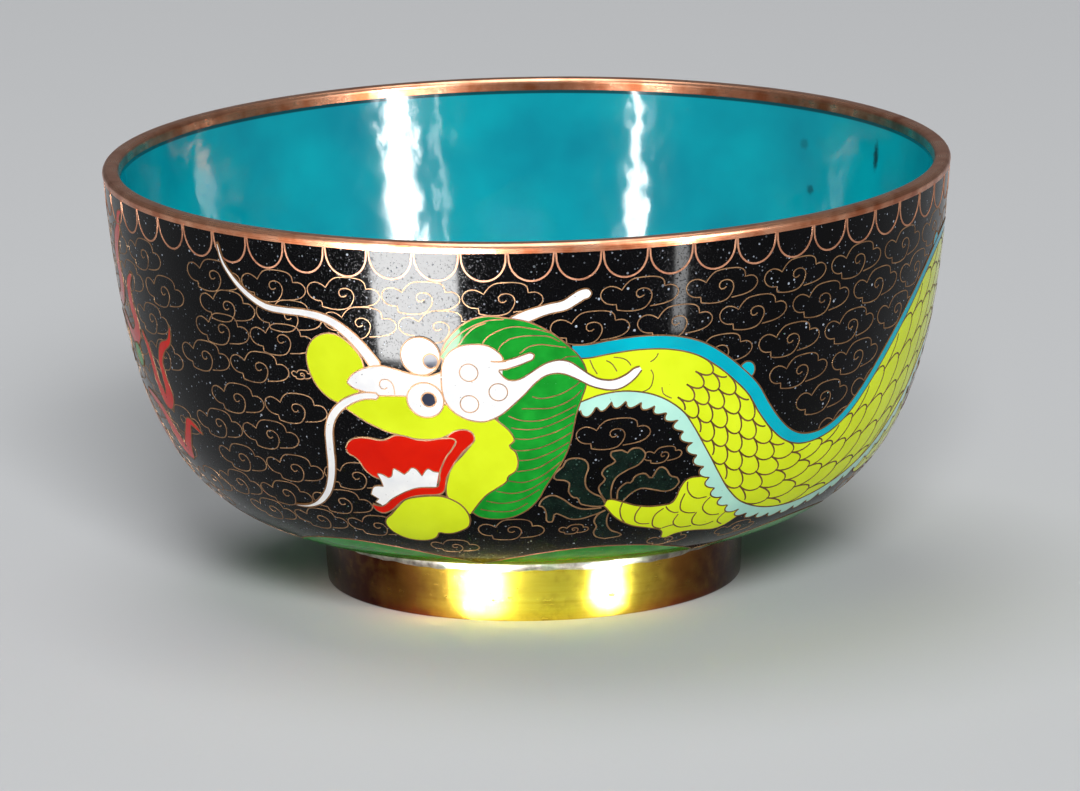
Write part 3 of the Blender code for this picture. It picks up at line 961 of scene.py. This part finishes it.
MOUTH_TOP = [(-27.4, 29.2), (-27.1, 28.6), (-26.4, 27.9), (-25.3, 27.5), (-23.6, 27.4), (-21.7, 27.6),
             (-20.6, 27.3), (-19.4, 26.7), (-18.3, 26.7), (-17.3, 26.9), (-16.2, 27.2), (-14.6, 27.2),
             (-12.9, 26.9), (-11.3, 26.8), (-10.7, 27.1)]
MOUTH_BOTTOM = [(-27.4, 29.4), (-27.1, 30.1), (-26.3, 30.4), (-25.6, 31.1), (-25.1, 32.2), (-24.3, 33.0),
                (-23.4, 33.5), (-21.0, 34.0), (-17.5, 34.2), (-14.0, 33.8), (-13.5, 32.1), (-13.0, 31.0),
                (-12.3, 29.7), (-11.3, 28.4), (-10.7, 27.4)]
cell(red, MOUTH_TOP, MOUTH_BOTTOM, 4, cloud_wire)
cell(red, LIP_OUTSIDE, LIP_INSIDE_LINE, 4, cloud_wire)
TOOTH_TIPS = strokes(
    [(-23.8, 38.0), (-24.6, 37.6)], [(-24.6, 37.6), (-23.9, 37.0)], [(-23.9, 37.0), (-25.0, 36.3)],
    [(-25.0, 36.3), (-24.3, 35.1), (-23.5, 34.8), (-22.6, 34.8)],
    [(-22.6, 34.8), (-22.8, 33.7), (-23.1, 32.8), (-22.4, 32.8), (-21.5, 33.3)],
    [(-21.5, 33.3), (-20.9, 33.0), (-20.4, 31.8), (-19.7, 32.1), (-18.9, 32.6)],
    [(-18.9, 32.6), (-18.2, 32.1), (-17.6, 31.5), (-16.9, 31.7), (-16.2, 32.7)],
    [(-16.2, 32.7), (-15.6, 31.9), (-15.1, 31.5), (-14.4, 31.9), (-13.6, 32.0)],
    step=0.25)
TOOTH_ROOTS = smooth([(-23.6, 38.2), (-22.9, 37.8), (-21.8, 36.9), (-20.3, 36.0), (-18.7, 35.2),
                      (-16.9, 34.6), (-14.3, 34.4)], count=len(TOOTH_TIPS))
TOOTH_WIRE = 0.16
white.between(TOOTH_TIPS, TOOTH_ROOTS, 5)
cloud_wire.wire(TOOTH_TIPS, 5, width=TOOTH_WIRE)
cloud_wire.wire(TOOTH_ROOTS, 5, width=TOOTH_WIRE)

# %% Brow, forehead, horns and whiskers
UPPER_WHISKER = [(-45.4, 2.6), (-44.6, 5.2), (-42.6, 7.5), (-40.2, 9.2), (-37.5, 10.3), (-34.5, 10.5),
                 (-31.5, 10.5), (-28.5, 10.9), (-26.2, 11.9), (-24.0, 13.6), (-22.2, 15.6), (-20.9, 17.4)]
LOWER_WHISKER = [(-40.6, 40.2), (-38.0, 40.0), (-35.2, 38.9), (-32.8, 36.9), (-31.3, 34.6), (-30.4, 32.0),
                 (-30.0, 29.4), (-29.6, 26.8), (-28.8, 24.9), (-27.4, 23.3), (-25.6, 22.1), (-23.4, 21.3),
                 (-21.2, 21.2)]
FAR_HORN = [(-3.2, 11.2), (-1.2, 10.1), (0.6, 9.4), (2.6, 8.8), (4.6, 8.4), (6.0, 7.6), (7.1, 7.0),
            (8.2, 6.9)]
EAR = [(-5.6, 16.4), (-3.8, 16.4), (-2.2, 16.0), (-0.8, 15.5), (0.5, 15.0)]
BROW_TOP = [(-25.7, 19.5), (-24.9, 18.5), (-23.8, 17.8), (-22.3, 17.2), (-20.4, 16.9), (-18.7, 17.2),
            (-17.1, 17.6), (-15.6, 17.9), (-13.8, 18.0), (-12.2, 17.5)]
BROW_BOTTOM = [(-25.7, 19.6), (-24.8, 20.3), (-23.6, 20.6), (-22.4, 20.9), (-21.0, 21.1), (-19.0, 21.0),
               (-16.8, 21.0), (-14.5, 21.4), (-12.6, 21.6), (-11.6, 22.0)]
HEAD_TOP = [(-12.1, 18.0), (-11.9, 16.6), (-11.5, 15.6), (-10.8, 14.7), (-9.8, 14.0), (-8.6, 13.6),
            (-7.3, 13.5), (-6.0, 13.6), (-5.0, 14.0), (-4.1, 14.7), (-3.6, 15.5), (-3.9, 16.4),
            (-4.3, 17.0), (-3.9, 17.6), (-3.4, 18.2), (-2.5, 18.5), (-1.4, 18.3), (-0.2, 17.6), (1.3, 16.6),
            (2.6, 16.0), (4.0, 15.8), (5.3, 16.1), (6.5, 16.9), (8.0, 18.0), (9.4, 18.7), (11.2, 18.9),
            (12.9, 18.3), (14.0, 17.5), (14.8, 17.3)]
HEAD_BOTTOM = [(-12.1, 18.2), (-12.1, 19.6), (-11.9, 21.0), (-11.4, 22.1), (-10.5, 23.1), (-9.3, 23.8),
               (-8.1, 24.2), (-6.5, 24.3), (-5.0, 23.8), (-3.8, 23.1), (-2.3, 21.8), (-0.8, 20.4),
               (0.5, 19.0), (1.8, 18.0), (3.3, 17.6), (4.7, 17.8), (6.4, 18.6), (8.0, 19.5), (9.8, 20.1),
               (11.4, 20.3), (12.8, 19.9), (14.2, 18.9), (15.1, 17.8)]
lash(white, UPPER_WHISKER, [0.3, 0.6, 0.8, 0.9, 0.95, 1.0, 1.1, 1.3, 1.5, 1.7], 3)
lash(white, LOWER_WHISKER, [0.25, 0.5, 0.85, 1.0, 1.1, 1.2, 1.2, 1.15, 1.1, 1.0, 0.9], 5)
lash(white, FAR_HORN, [1.6, 1.6, 1.6, 1.4, 1.35, 1.4, 1.5, 1.3], 1)
cell(white, BROW_TOP, BROW_BOTTOM, 4)
cell(white, HEAD_TOP, HEAD_BOTTOM, 4)
lash(white, EAR, [1.1, 1.15, 1.15, 1.1, 1.0], 4.7)
# Covers the ear's root, so that forehead and ear are one white cell.
white.inside(circle(-5.6, 17.0, 1.3, 20), 5.4)

# %% Eyes, curl and forehead rings
spot(white, -14.8, 15.3, 2.6, 5)
spot(white, -14.5, 21.4, 2.45, 5)
spot(pupils, -13.4, 15.9, 1.0, 6)
spot(pupils, -14.0, 21.3, 0.98, 6)
for degrees, down in ((-8.3, 17.4), (-8.4, 21.8), (-4.4, 20.1)):
    dragon_wire.wire(circle(degrees, down, 1.2), 4, closed=True, width=THIN_WIDTH)
dragon_wire.wire(smooth([(-5.3, 15.8), (-4.3, 15.9), (-3.2, 15.8)]), 5, width=STRAND_WIDTH)
BROW_CURL = [(-18.8, 20.8), (-18.9, 19.5), (-19.6, 18.8), (-20.6, 18.9), (-20.9, 19.7), (-20.4, 20.2),
             (-19.8, 19.9)]
dragon_wire.wire(smooth(BROW_CURL), 4, width=THIN_WIDTH)
NECK_STROKES = (
    [(8.0, 16.0), (8.4, 17.0), (9.0, 18.0)],
    [(10.2, 16.2), (11.0, 16.7), (11.7, 17.8)],
    [(11.2, 15.8), (12.3, 16.0), (13.1, 16.4), (13.6, 17.1)],
    [(17.4, 15.7), (17.0, 16.4), (16.3, 16.8)],
    [(16.4, 17.9), (16.8, 18.7), (16.6, 20.1), (16.0, 20.7), (14.9, 21.0)],
    [(18.1, 20.5), (18.4, 21.5), (19.6, 22.2)],
)
for line in NECK_STROKES:
    dragon_wire.wire(smooth(line), 0, width=THIN_WIDTH)

# %% [markdown]
# Legs. The foreleg reaches forward under the belly, with scales, a spur, and five claws of a green so dark
# that only its wires show it. Two more legs further round are the same drawing: one turned over and leaning
# a little, one made smaller. A function carries every point of the leg through such a change of place.

# %% Legs and claws
LEG_TOP = [(10.9, 37.9), (11.2, 37.1), (12.0, 37.0), (13.9, 37.7), (16.1, 38.5), (18.3, 38.9), (20.3, 38.9),
           (21.8, 38.7), (22.4, 37.6), (22.6, 36.4), (23.2, 35.1), (24.1, 34.6), (25.6, 34.6), (27.5, 34.8),
           (30.0, 36.5), (33.0, 39.5), (36.0, 42.4)]
LEG_BOTTOM = [(10.9, 38.1), (11.6, 38.9), (12.6, 40.1), (14.1, 41.3), (16.1, 42.4), (18.8, 43.2),
              (20.9, 43.8), (22.0, 44.7), (22.3, 46.1), (23.4, 46.3), (24.4, 45.6), (26.4, 45.2),
              (29.2, 45.4), (32.1, 45.8), (34.2, 45.2), (36.0, 43.4)]
CLAWS = (
    ([(10.9, 37.5), (10.3, 36.5), (9.0, 35.8), (7.9, 34.7), (7.7, 33.1), (8.1, 31.5), (7.6, 30.4),
      (6.4, 30.0), (5.0, 30.2), (4.4, 31.2)],
     [(10.9, 38.1), (9.5, 38.1), (8.1, 37.8), (7.1, 37.4), (6.8, 36.5), (5.9, 36.2), (5.3, 35.2),
      (5.4, 33.9), (4.6, 33.4), (3.3, 33.2), (3.2, 32.4), (4.4, 31.2)]),
    ([(10.5, 38.4), (8.6, 38.5), (7.3, 38.4), (5.9, 37.7), (4.6, 36.6), (2.9, 35.8), (1.4, 36.5),
      (0.9, 37.6)],
     [(10.5, 39.2), (9.0, 39.8), (7.3, 40.3), (5.7, 40.2), (4.3, 39.4), (3.3, 39.1), (3.0, 40.6),
      (2.1, 40.5), (2.0, 39.1), (1.6, 37.9), (0.9, 37.6)]),
    ([(11.0, 37.1), (10.1, 35.8), (9.8, 34.7), (10.7, 33.6), (10.1, 32.7), (10.6, 31.7), (12.0, 30.9),
      (11.2, 29.9), (11.4, 29.3)],
     [(11.9, 37.1), (11.7, 35.4), (12.2, 33.5), (13.9, 32.3), (15.5, 31.6), (16.4, 30.2), (15.5, 29.1),
      (14.2, 29.1), (13.6, 29.7), (12.9, 29.2), (11.4, 29.3)]),
    ([(12.8, 37.0), (12.8, 35.5), (13.9, 34.4), (14.7, 34.4), (15.2, 33.4), (16.6, 33.1), (17.7, 34.0),
      (18.4, 32.7), (19.0, 32.3), (19.9, 32.8), (20.7, 33.9), (21.8, 34.3), (22.3, 35.1)],
     [(13.8, 37.4), (15.0, 36.1), (16.4, 35.5), (18.3, 35.9), (20.2, 36.4), (21.6, 36.1), (22.3, 35.1)]),
    ([(11.2, 38.9), (10.1, 39.6), (9.6, 41.0), (10.2, 42.1), (9.8, 43.2), (10.4, 44.4), (12.0, 45.0)],
     [(11.8, 39.5), (11.6, 40.6), (11.9, 42.0), (12.8, 43.2), (14.2, 43.9), (14.6, 44.6), (12.0, 45.0)]),
)
LEG_SCALES = (
    [(13.7, 37.8), (13.5, 39.0), (13.9, 40.5), (14.6, 41.5)],
    [(16.8, 38.7), (16.2, 40.1), (16.4, 41.5), (17.6, 42.2), (19.0, 42.3)],
    [(20.7, 39.5), (19.6, 40.5), (19.4, 41.8), (19.9, 43.1), (21.5, 43.8)],
    [(21.0, 39.2), (21.7, 40.0), (22.8, 40.6), (23.5, 40.6)],
    [(23.7, 37.2), (23.4, 38.7), (23.8, 40.2), (25.3, 41.0), (26.6, 41.1)],
    [(23.7, 35.2), (24.0, 36.6), (25.1, 37.9), (26.3, 38.4), (27.7, 38.3)],
    [(23.6, 41.0), (23.2, 42.3), (23.6, 43.2), (25.0, 44.0), (27.1, 44.0)],
    [(26.9, 41.1), (26.6, 42.4), (27.2, 43.6), (28.7, 44.2), (30.0, 44.2), (31.2, 43.7)],
    [(28.4, 38.5), (27.7, 39.5), (27.8, 40.6), (29.0, 41.7), (30.3, 42.2), (31.5, 42.2)],
    [(33.0, 41.6), (32.2, 42.6), (31.9, 43.6), (32.4, 44.2), (33.4, 44.8)],
    [(21.6, 43.7), (22.4, 43.4), (23.5, 43.2)],
)
HIP = (31.0, 41.0)


def draw_leg(carry):
    """One leg with its claws, every point of it put through the given change of place."""
    for one, other in CLAWS:
        cell(claw_green, carry(one), carry(other), 0, cloud_wire)
    cell(yellow, carry(LEG_TOP), carry(LEG_BOTTOM), 0)
    for scale in LEG_SCALES:
        dragon_wire.wire(smooth(carry(scale)), 0)


def moved(points, turn_at, place, lean=0.0, size=1.0, flip=-1):
    """Points resized and turned about turn_at by a lean in degrees, flipped sideways, set down at place."""
    offset = (np.asarray(points, float) - turn_at) * size
    angle = math.radians(lean)
    right = offset[:, 0] * math.cos(angle) - offset[:, 1] * math.sin(angle)
    down = offset[:, 0] * math.sin(angle) + offset[:, 1] * math.cos(angle)
    return np.stack([place[0] + flip * right, place[1] + down], -1)


draw_leg(np.array)
draw_leg(lambda points: moved(points, HIP, (68.0, 37.0), lean=4))
draw_leg(lambda points: moved(points, HIP, (194.0, 32.0), size=0.85, flip=1))

# %% [markdown]
# The flaming pearl that the dragon chases lies round the left side, mostly out of the picture: a white disc
# with a curl on it, and tongues of red flame that lick forward. The tail ends in a tuft made of the same
# tongues in green.

# %% Pearl, flames and tail
PEARL_CURL = [(-84.5, 22.5), (-83.6, 21.9), (-84.0, 20.8), (-85.4, 20.8), (-86.4, 22.2), (-85.8, 24.2),
              (-83.8, 24.9), (-82.0, 23.8)]
FLAMES = (  # widths along the flame, then its middle line
    ([0.3, 1.1, 1.4, 1.6, 2.0, 2.8, 2.4, 1.8, 1.4, 0.6],
     [(-57.2, 31.6), (-58.9, 30.6), (-60.4, 30.2), (-62.0, 32.0), (-64.6, 34.6), (-66.2, 36.2),
      (-67.8, 34.6), (-69.4, 31.4), (-71.6, 29.6), (-76.0, 28.4)]),
    ([0.3, 0.9, 1.5, 1.2, 1.4, 2.2, 2.6, 1.6, 1.4, 1.3, 0.6],
     [(-59.2, 16.4), (-60.2, 18.6), (-62.8, 20.0), (-64.4, 22.2), (-64.4, 24.6), (-64.4, 27.0),
      (-66.4, 28.2), (-67.8, 25.6), (-68.0, 22.7), (-68.6, 20.6), (-69.8, 18.8)]),
    ([0.6, 1.8, 2.2, 2.4, 2.2, 1.8, 0.6],
     [(-70.6, 11.2), (-72.6, 13.0), (-73.0, 15.6), (-72.0, 17.8), (-72.6, 19.8), (-76.0, 20.8),
      (-80.0, 18.0)]),
    ([0.3, 1.4, 2.0, 2.4, 2.8, 2.8, 2.2, 0.8],
     [(-71.4, 2.8), (-73.4, 3.6), (-74.6, 5.8), (-76.6, 7.6), (-78.0, 10.4), (-77.4, 13.6), (-79.6, 16.2),
      (-83.0, 16.6)]),
    ([0.3, 2.0, 2.6, 2.4, 0.8], [(-86.0, 4.4), (-88.0, 7.0), (-87.0, 10.0), (-89.0, 13.0), (-88.0, 17.0)]),
    ([0.3, 1.8, 2.6, 2.4, 0.8], [(-101.0, 12.0), (-98.6, 13.4), (-97.6, 16.4), (-94.6, 18.0),
                                 (-90.6, 18.4)]),
    ([0.3, 1.8, 2.6, 2.4, 0.8], [(-103.0, 27.0), (-100.4, 25.4), (-97.6, 27.2), (-94.4, 27.0),
                                 (-91.0, 24.6)]),
    ([0.3, 2.0, 2.6, 2.4, 0.8], [(-92.0, 40.4), (-91.4, 37.6), (-88.4, 36.0), (-88.4, 32.6),
                                 (-86.4, 28.6)]),
    ([0.3, 1.8, 2.6, 2.4, 0.8], [(-74.6, 41.4), (-76.8, 39.4), (-76.4, 36.4), (-79.0, 33.4),
                                 (-81.4, 28.6)]),
)
TUFT_WIDTHS = [0.8, 2.0, 2.6, 1.8, 0.3]
TUFT = (
    [(229.6, 18.8), (232.4, 16.0), (231.6, 12.6), (234.0, 9.0), (236.4, 7.4)],
    [(230.4, 18.0), (234.6, 17.0), (236.8, 14.0), (240.6, 13.4)],
    [(229.2, 17.6), (227.6, 14.4), (229.0, 11.0), (227.4, 7.4)],
    [(230.8, 19.2), (235.2, 20.4), (238.6, 18.6), (242.0, 19.6)],
)
spot(white, -84.5, 22.5, 3.6, 1)
dragon_wire.wire(smooth(PEARL_CURL), 1)
spot(green, -74.6, 23.2, 1.7, 1)
for widths, points in FLAMES:
    lash(red, points, widths, 0)
for points in TUFT:
    lash(green, points, TUFT_WIDTHS, 2)

# %% [markdown]
# Borders. Under the rim runs a row of wire scallops, each about a half circle with its ends side by side
# against the next: one shape and a loop. Round the base stand eight broad green lappets, a flower as seen
# from below: one cell whose edge is a wave of the angle, with a sharp dip where two lappets meet.

# %% Scallops and lappets
SCALLOPS, SCALLOP_PHASE, SCALLOP_DEPTH = 58, 3.45, 3.35
SCALLOP_GAP, SCALLOP_SPREAD = 0.17, 0.05    # degrees left free at each side of a scallop, and at its ends
SCALLOP_STEM, SCALLOP_ROOT = 0.35, -0.1     # millimetres below the copper, where it bends and where it ends
BORDER_WIRE = 0.28
pitch = 360 / SCALLOPS
border_wire = Inlay("scallop_wires", PINK_WIRE, "inlaid_wire")
swing = np.radians(np.linspace(-90, 90, 17))
stem, root = LIP_BAND + SCALLOP_STEM, LIP_BAND + SCALLOP_ROOT
for number in range(SCALLOPS):
    middle = SCALLOP_PHASE + (number + 0.5) * pitch
    half = pitch / 2 - SCALLOP_GAP
    cup = np.stack([middle + half * np.sin(swing), stem + SCALLOP_DEPTH * np.cos(swing) ** 0.9], -1)
    out = half + SCALLOP_SPREAD
    border_wire.wire(np.vstack([[(middle - out, root)], cup, [(middle + out, root)]]), 0, width=BORDER_WIRE)

LAPPETS, LAPPET_CREST = 8, -33.0
LAPPET_DIP, LAPPET_RISE = 55.0, 7.8
around = np.arange(0, 360, 0.75)
wave = np.abs(np.cos(np.radians((around - LAPPET_CREST) * LAPPETS / 2)))
crest = np.stack([around, LAPPET_DIP - LAPPET_RISE * wave ** 0.65], -1)
foot_line = np.stack([around, np.full(len(around), foot_down - 0.3)], -1)
green.between(crest, foot_line, 0, closed=True, step=1.2)
dragon_wire.wire(crest, 0, closed=True)

# %% [markdown]
# Clouds fill the ground. Each is bent from two wires: an outline of three lobes that meet in notches, and a
# base line that ends in a curl. They stand in staggered rows, which start at the head and run round the bowl
# both ways. A wire stops where it meets a cell: the even-odd rule says which of its points lie inside a
# cell's outline, and only the runs outside are made.

# %% One cloud
CLOUD = (
    strokes([(-3.4, 2.1), (-3.5, 1.35)],
            [(-3.5, 1.35), (-4.5, 1.25), (-5.25, 0.8), (-5.6, 0.0), (-5.2, -0.8), (-4.3, -1.15),
             (-3.4, -0.95), (-2.75, -0.55)],
            [(-2.75, -0.55), (-2.2, -1.3), (-1.3, -1.95), (0.3, -2.15), (2.0, -2.05), (2.9, -1.6),
             (3.1, -0.75)],
            [(3.1, -0.75), (4.1, -0.8), (4.85, -0.35), (5.0, 0.4), (4.35, 1.15), (3.1, 1.6),
             (1.1, 1.85)], step=0.4),
    strokes([(-3.4, 2.1), (-2.2, 2.3), (-0.8, 2.3), (0.35, 2.0), (1.05, 1.25), (1.35, 0.4), (1.05, -0.35),
             (0.2, -0.65), (-0.65, -0.4), (-0.8, 0.2), (-0.35, 0.6), (0.25, 0.3)], step=0.4),
)
RIGHT_STEP, LEFT_STEP = 11.7, -10.9     # degrees from one cloud of a row to the next
ROWS_MEET = 302.0                       # degrees round, where the two sets of rows meet
LEFT_ROWS_END = ROWS_MEET - 360 + 3.0   # the same place counted the other way, less the gap between them
CLOUDS_BOTTOM = 50.0
CLOUD_LIFT = 0.026 * MM
LEAST_FREE = 0.3                        # share of a cloud's outline that has to lie on bare ground
RIGHT_ROWS = [(7.3, 15.0), (11.5, 8.3), (16.2, 26.4), (20.9, 40.4), (25.6, 46.0), (30.3, 52.0),
              (35.0, 70.0), (39.7, 76.0), (44.2, 70.0)]
LEFT_ROWS = [(7.3, -3.2), (11.2, -12.0), (14.6, -35.4), (19.0, -40.0), (24.2, -34.6), (28.8, -40.4),
             (33.6, -26.6), (38.4, -30.6), (42.6, -26.0)]
LONE_CLOUDS = [(11.8, 26.6, 1.0), (19.2, 30.4, 0.55), (-32.8, 19.2, 0.3), (-3.3, 42.2, 1.0),
               (6.6, 42.4, 0.45), (-13.5, 46.5, 0.8), (24.0, 46.8, 0.7), (38.0, 46.8, 0.8)]


def is_inside(points, outline):
    """Even-odd rule: a point is inside if a line to its right crosses the outline an odd number of times."""
    here, there = outline, np.roll(outline, -1, 0)
    x, y = points[:, 0, None], points[:, 1, None]
    spans = (here[:, 1] > y) != (there[:, 1] > y)
    height = np.where(there[:, 1] == here[:, 1], 1e-9, there[:, 1] - here[:, 1])
    crossing = here[:, 0] + (y - here[:, 1]) * (there[:, 0] - here[:, 0]) / height
    return (spans & (x < crossing)).sum(1) % 2 == 1


def is_free(points):
    """Which points lie on bare ground, outside every cell and above the lappets."""
    turned_back = (points[:, 0] + 180) % 360 - 180
    free = points[:, 1] < CLOUDS_BOTTOM
    for outline in Inlay.outlines:
        for shift in (-360, 0, 360):
            moved_outline = outline + np.array([shift, 0])
            near = (turned_back > moved_outline[:, 0].min()) & (turned_back < moved_outline[:, 0].max())
            if near.any():
                spot_on = np.stack([turned_back[near], points[near, 1]], -1)
                free[near] &= ~is_inside(spot_on, moved_outline)
    return free


def free_runs(line):
    """The pieces of a line on bare ground, each running on by one point to tuck its end under the cell."""
    free = is_free(line)
    free = free | np.roll(free, 1) | np.roll(free, -1)
    breaks = np.flatnonzero(np.diff(free.astype(int))) + 1
    runs = zip(np.split(line, breaks), np.split(free, breaks))
    return [run for run, kept in runs if kept[0] and len(run) > 3]


# %% Rows of clouds
places = list(LONE_CLOUDS)
for down, first in RIGHT_ROWS:
    places += [(degrees, down, 1.0) for degrees in np.arange(first, ROWS_MEET, RIGHT_STEP)]
for down, first in LEFT_ROWS:
    places += [(degrees, down, 1.0) for degrees in np.arange(first, LEFT_ROWS_END, LEFT_STEP)]
for degrees, down, size in places:
    lines = [part * size + np.array([degrees, down]) for part in CLOUD]
    if is_free(lines[0]).mean() > LEAST_FREE:
        for line in lines:
            for run in free_runs(line):
                cloud_wire.wire(run, lift=CLOUD_LIFT, width=THIN_WIDTH)

CELLS = (yellow, green, turquoise, pale_blue, white, red, claw_green, pupils)
for inlay in (*CELLS, dragon_wire, border_wire, cloud_wire):
    inlay.finish()

# %% [markdown]
# The setting: a plain pale floor and soft light. A broad light stands over the camera and a weak one above
# the bowl. Polished glass and metal show themselves by what they mirror, so eight more panels are seen only
# mirrored: one over the rim, and uprights in front, low and near for the outside of the wall, close by for
# the foot, tall and further off for the lining. The two at the foot would make the floor glow in front of
# it, so their light isn't passed on: it counts only where the camera sees it mirrored directly.

# %% Floor
FLOOR_SIZE = 4.0


def make_floor():
    mesh = bpy.data.meshes.new("floor")
    half = FLOOR_SIZE / 2
    corners = [(-half, -half, 0), (half, -half, 0), (half, half, 0), (-half, half, 0)]
    mesh.from_pydata(corners, [], [(0, 1, 2, 3)])
    paint = Finish("floor_grey", 0.9, specular=0.0)
    tone = paint.noise(40 * MM, 3.0) * 0.03
    mesh.materials.append(paint.surface(paint.mix(tone, (0.55, 0.56, 0.57), (0.5, 0.5, 0.5))))
    floor = bpy.data.objects.new("floor", mesh)
    bpy.context.scene.collection.objects.link(floor)


make_floor()


# %% Lights
def panel(name, place, aim, size, power, mirrored=False, passed_on=True):
    """A rectangular light of the given width and height in metres, at a place, turned to its aim. It either
    lights the scene without being mirrored, or is only seen mirrored, passed on by other things or not."""
    data = bpy.data.lights.new(name, "AREA")
    data.shape = "RECTANGLE"
    data.size, data.size_y = size
    data.energy = power
    light = bpy.data.objects.new(name, data)
    bpy.context.scene.collection.objects.link(light)
    light.location = place
    light.rotation_euler = (Vector(aim) - Vector(place)).to_track_quat("-Z", "Y").to_euler()
    light.visible_camera = False
    light.visible_diffuse = not mirrored
    light.visible_glossy = mirrored
    if not passed_on:
        data.cycles.max_bounces = 0
        data.cycles.use_multiple_importance_sampling = False


def upright(name, azimuth, distance, low, high, width, brightness, passed_on=True):
    """An upright panel at an angle round from the front, seen only mirrored. Its power follows from the
    brightness it should have, as a square of white paper in full light has 1."""
    angle = math.radians(azimuth)
    place = Vector((math.sin(angle) * distance, -math.cos(angle) * distance, (low + high) / 2))
    power = brightness * math.pi * width * (high - low)
    panel(name, place, (0, 0, (low + high) / 2), (width, high - low), power, True, passed_on)


world = bpy.data.worlds.new("studio")
world.use_nodes = True
world.node_tree.nodes["Background"].inputs["Color"].default_value = (0.93, 0.95, 1.0, 1)
world.node_tree.nodes["Background"].inputs["Strength"].default_value = 0.15
bpy.context.scene.world = world

panel("key_light", (0.25, -3.0, 1.7), (0, 0, 0.03), (1.1, 0.9), 130)
panel("top_light", (-0.2, 0.3, 1.4), (0, 0, 0.0), (0.9, 0.9), 8)
panel("rim_panel", (0, -0.1, 0.7), (0, 0, 0.0), (0.42, 0.9), 4.5, mirrored=True)
upright("left_low_panel", -24.4, 0.12, 0.005, 0.05, 0.04, 120)
upright("right_low_panel", 32.6, 0.12, 0.012, 0.05, 0.006, 34)
upright("left_foot_panel", -16.0, 0.0312, 0.0001, 0.0078, 0.0068, 80, passed_on=False)
upright("right_foot_panel", 22.3, 0.0311, 0.0001, 0.0078, 0.0047, 95, passed_on=False)
upright("right_tall_panel", 41.5, 0.3, 0.07, 0.24, 0.045, 50)
upright("left_tall_panel", -36.6, 0.3, 0.07, 0.24, 0.02, 40)
upright("middle_tall_panel", 28.0, 0.3, 0.07, 0.24, 0.006, 16)
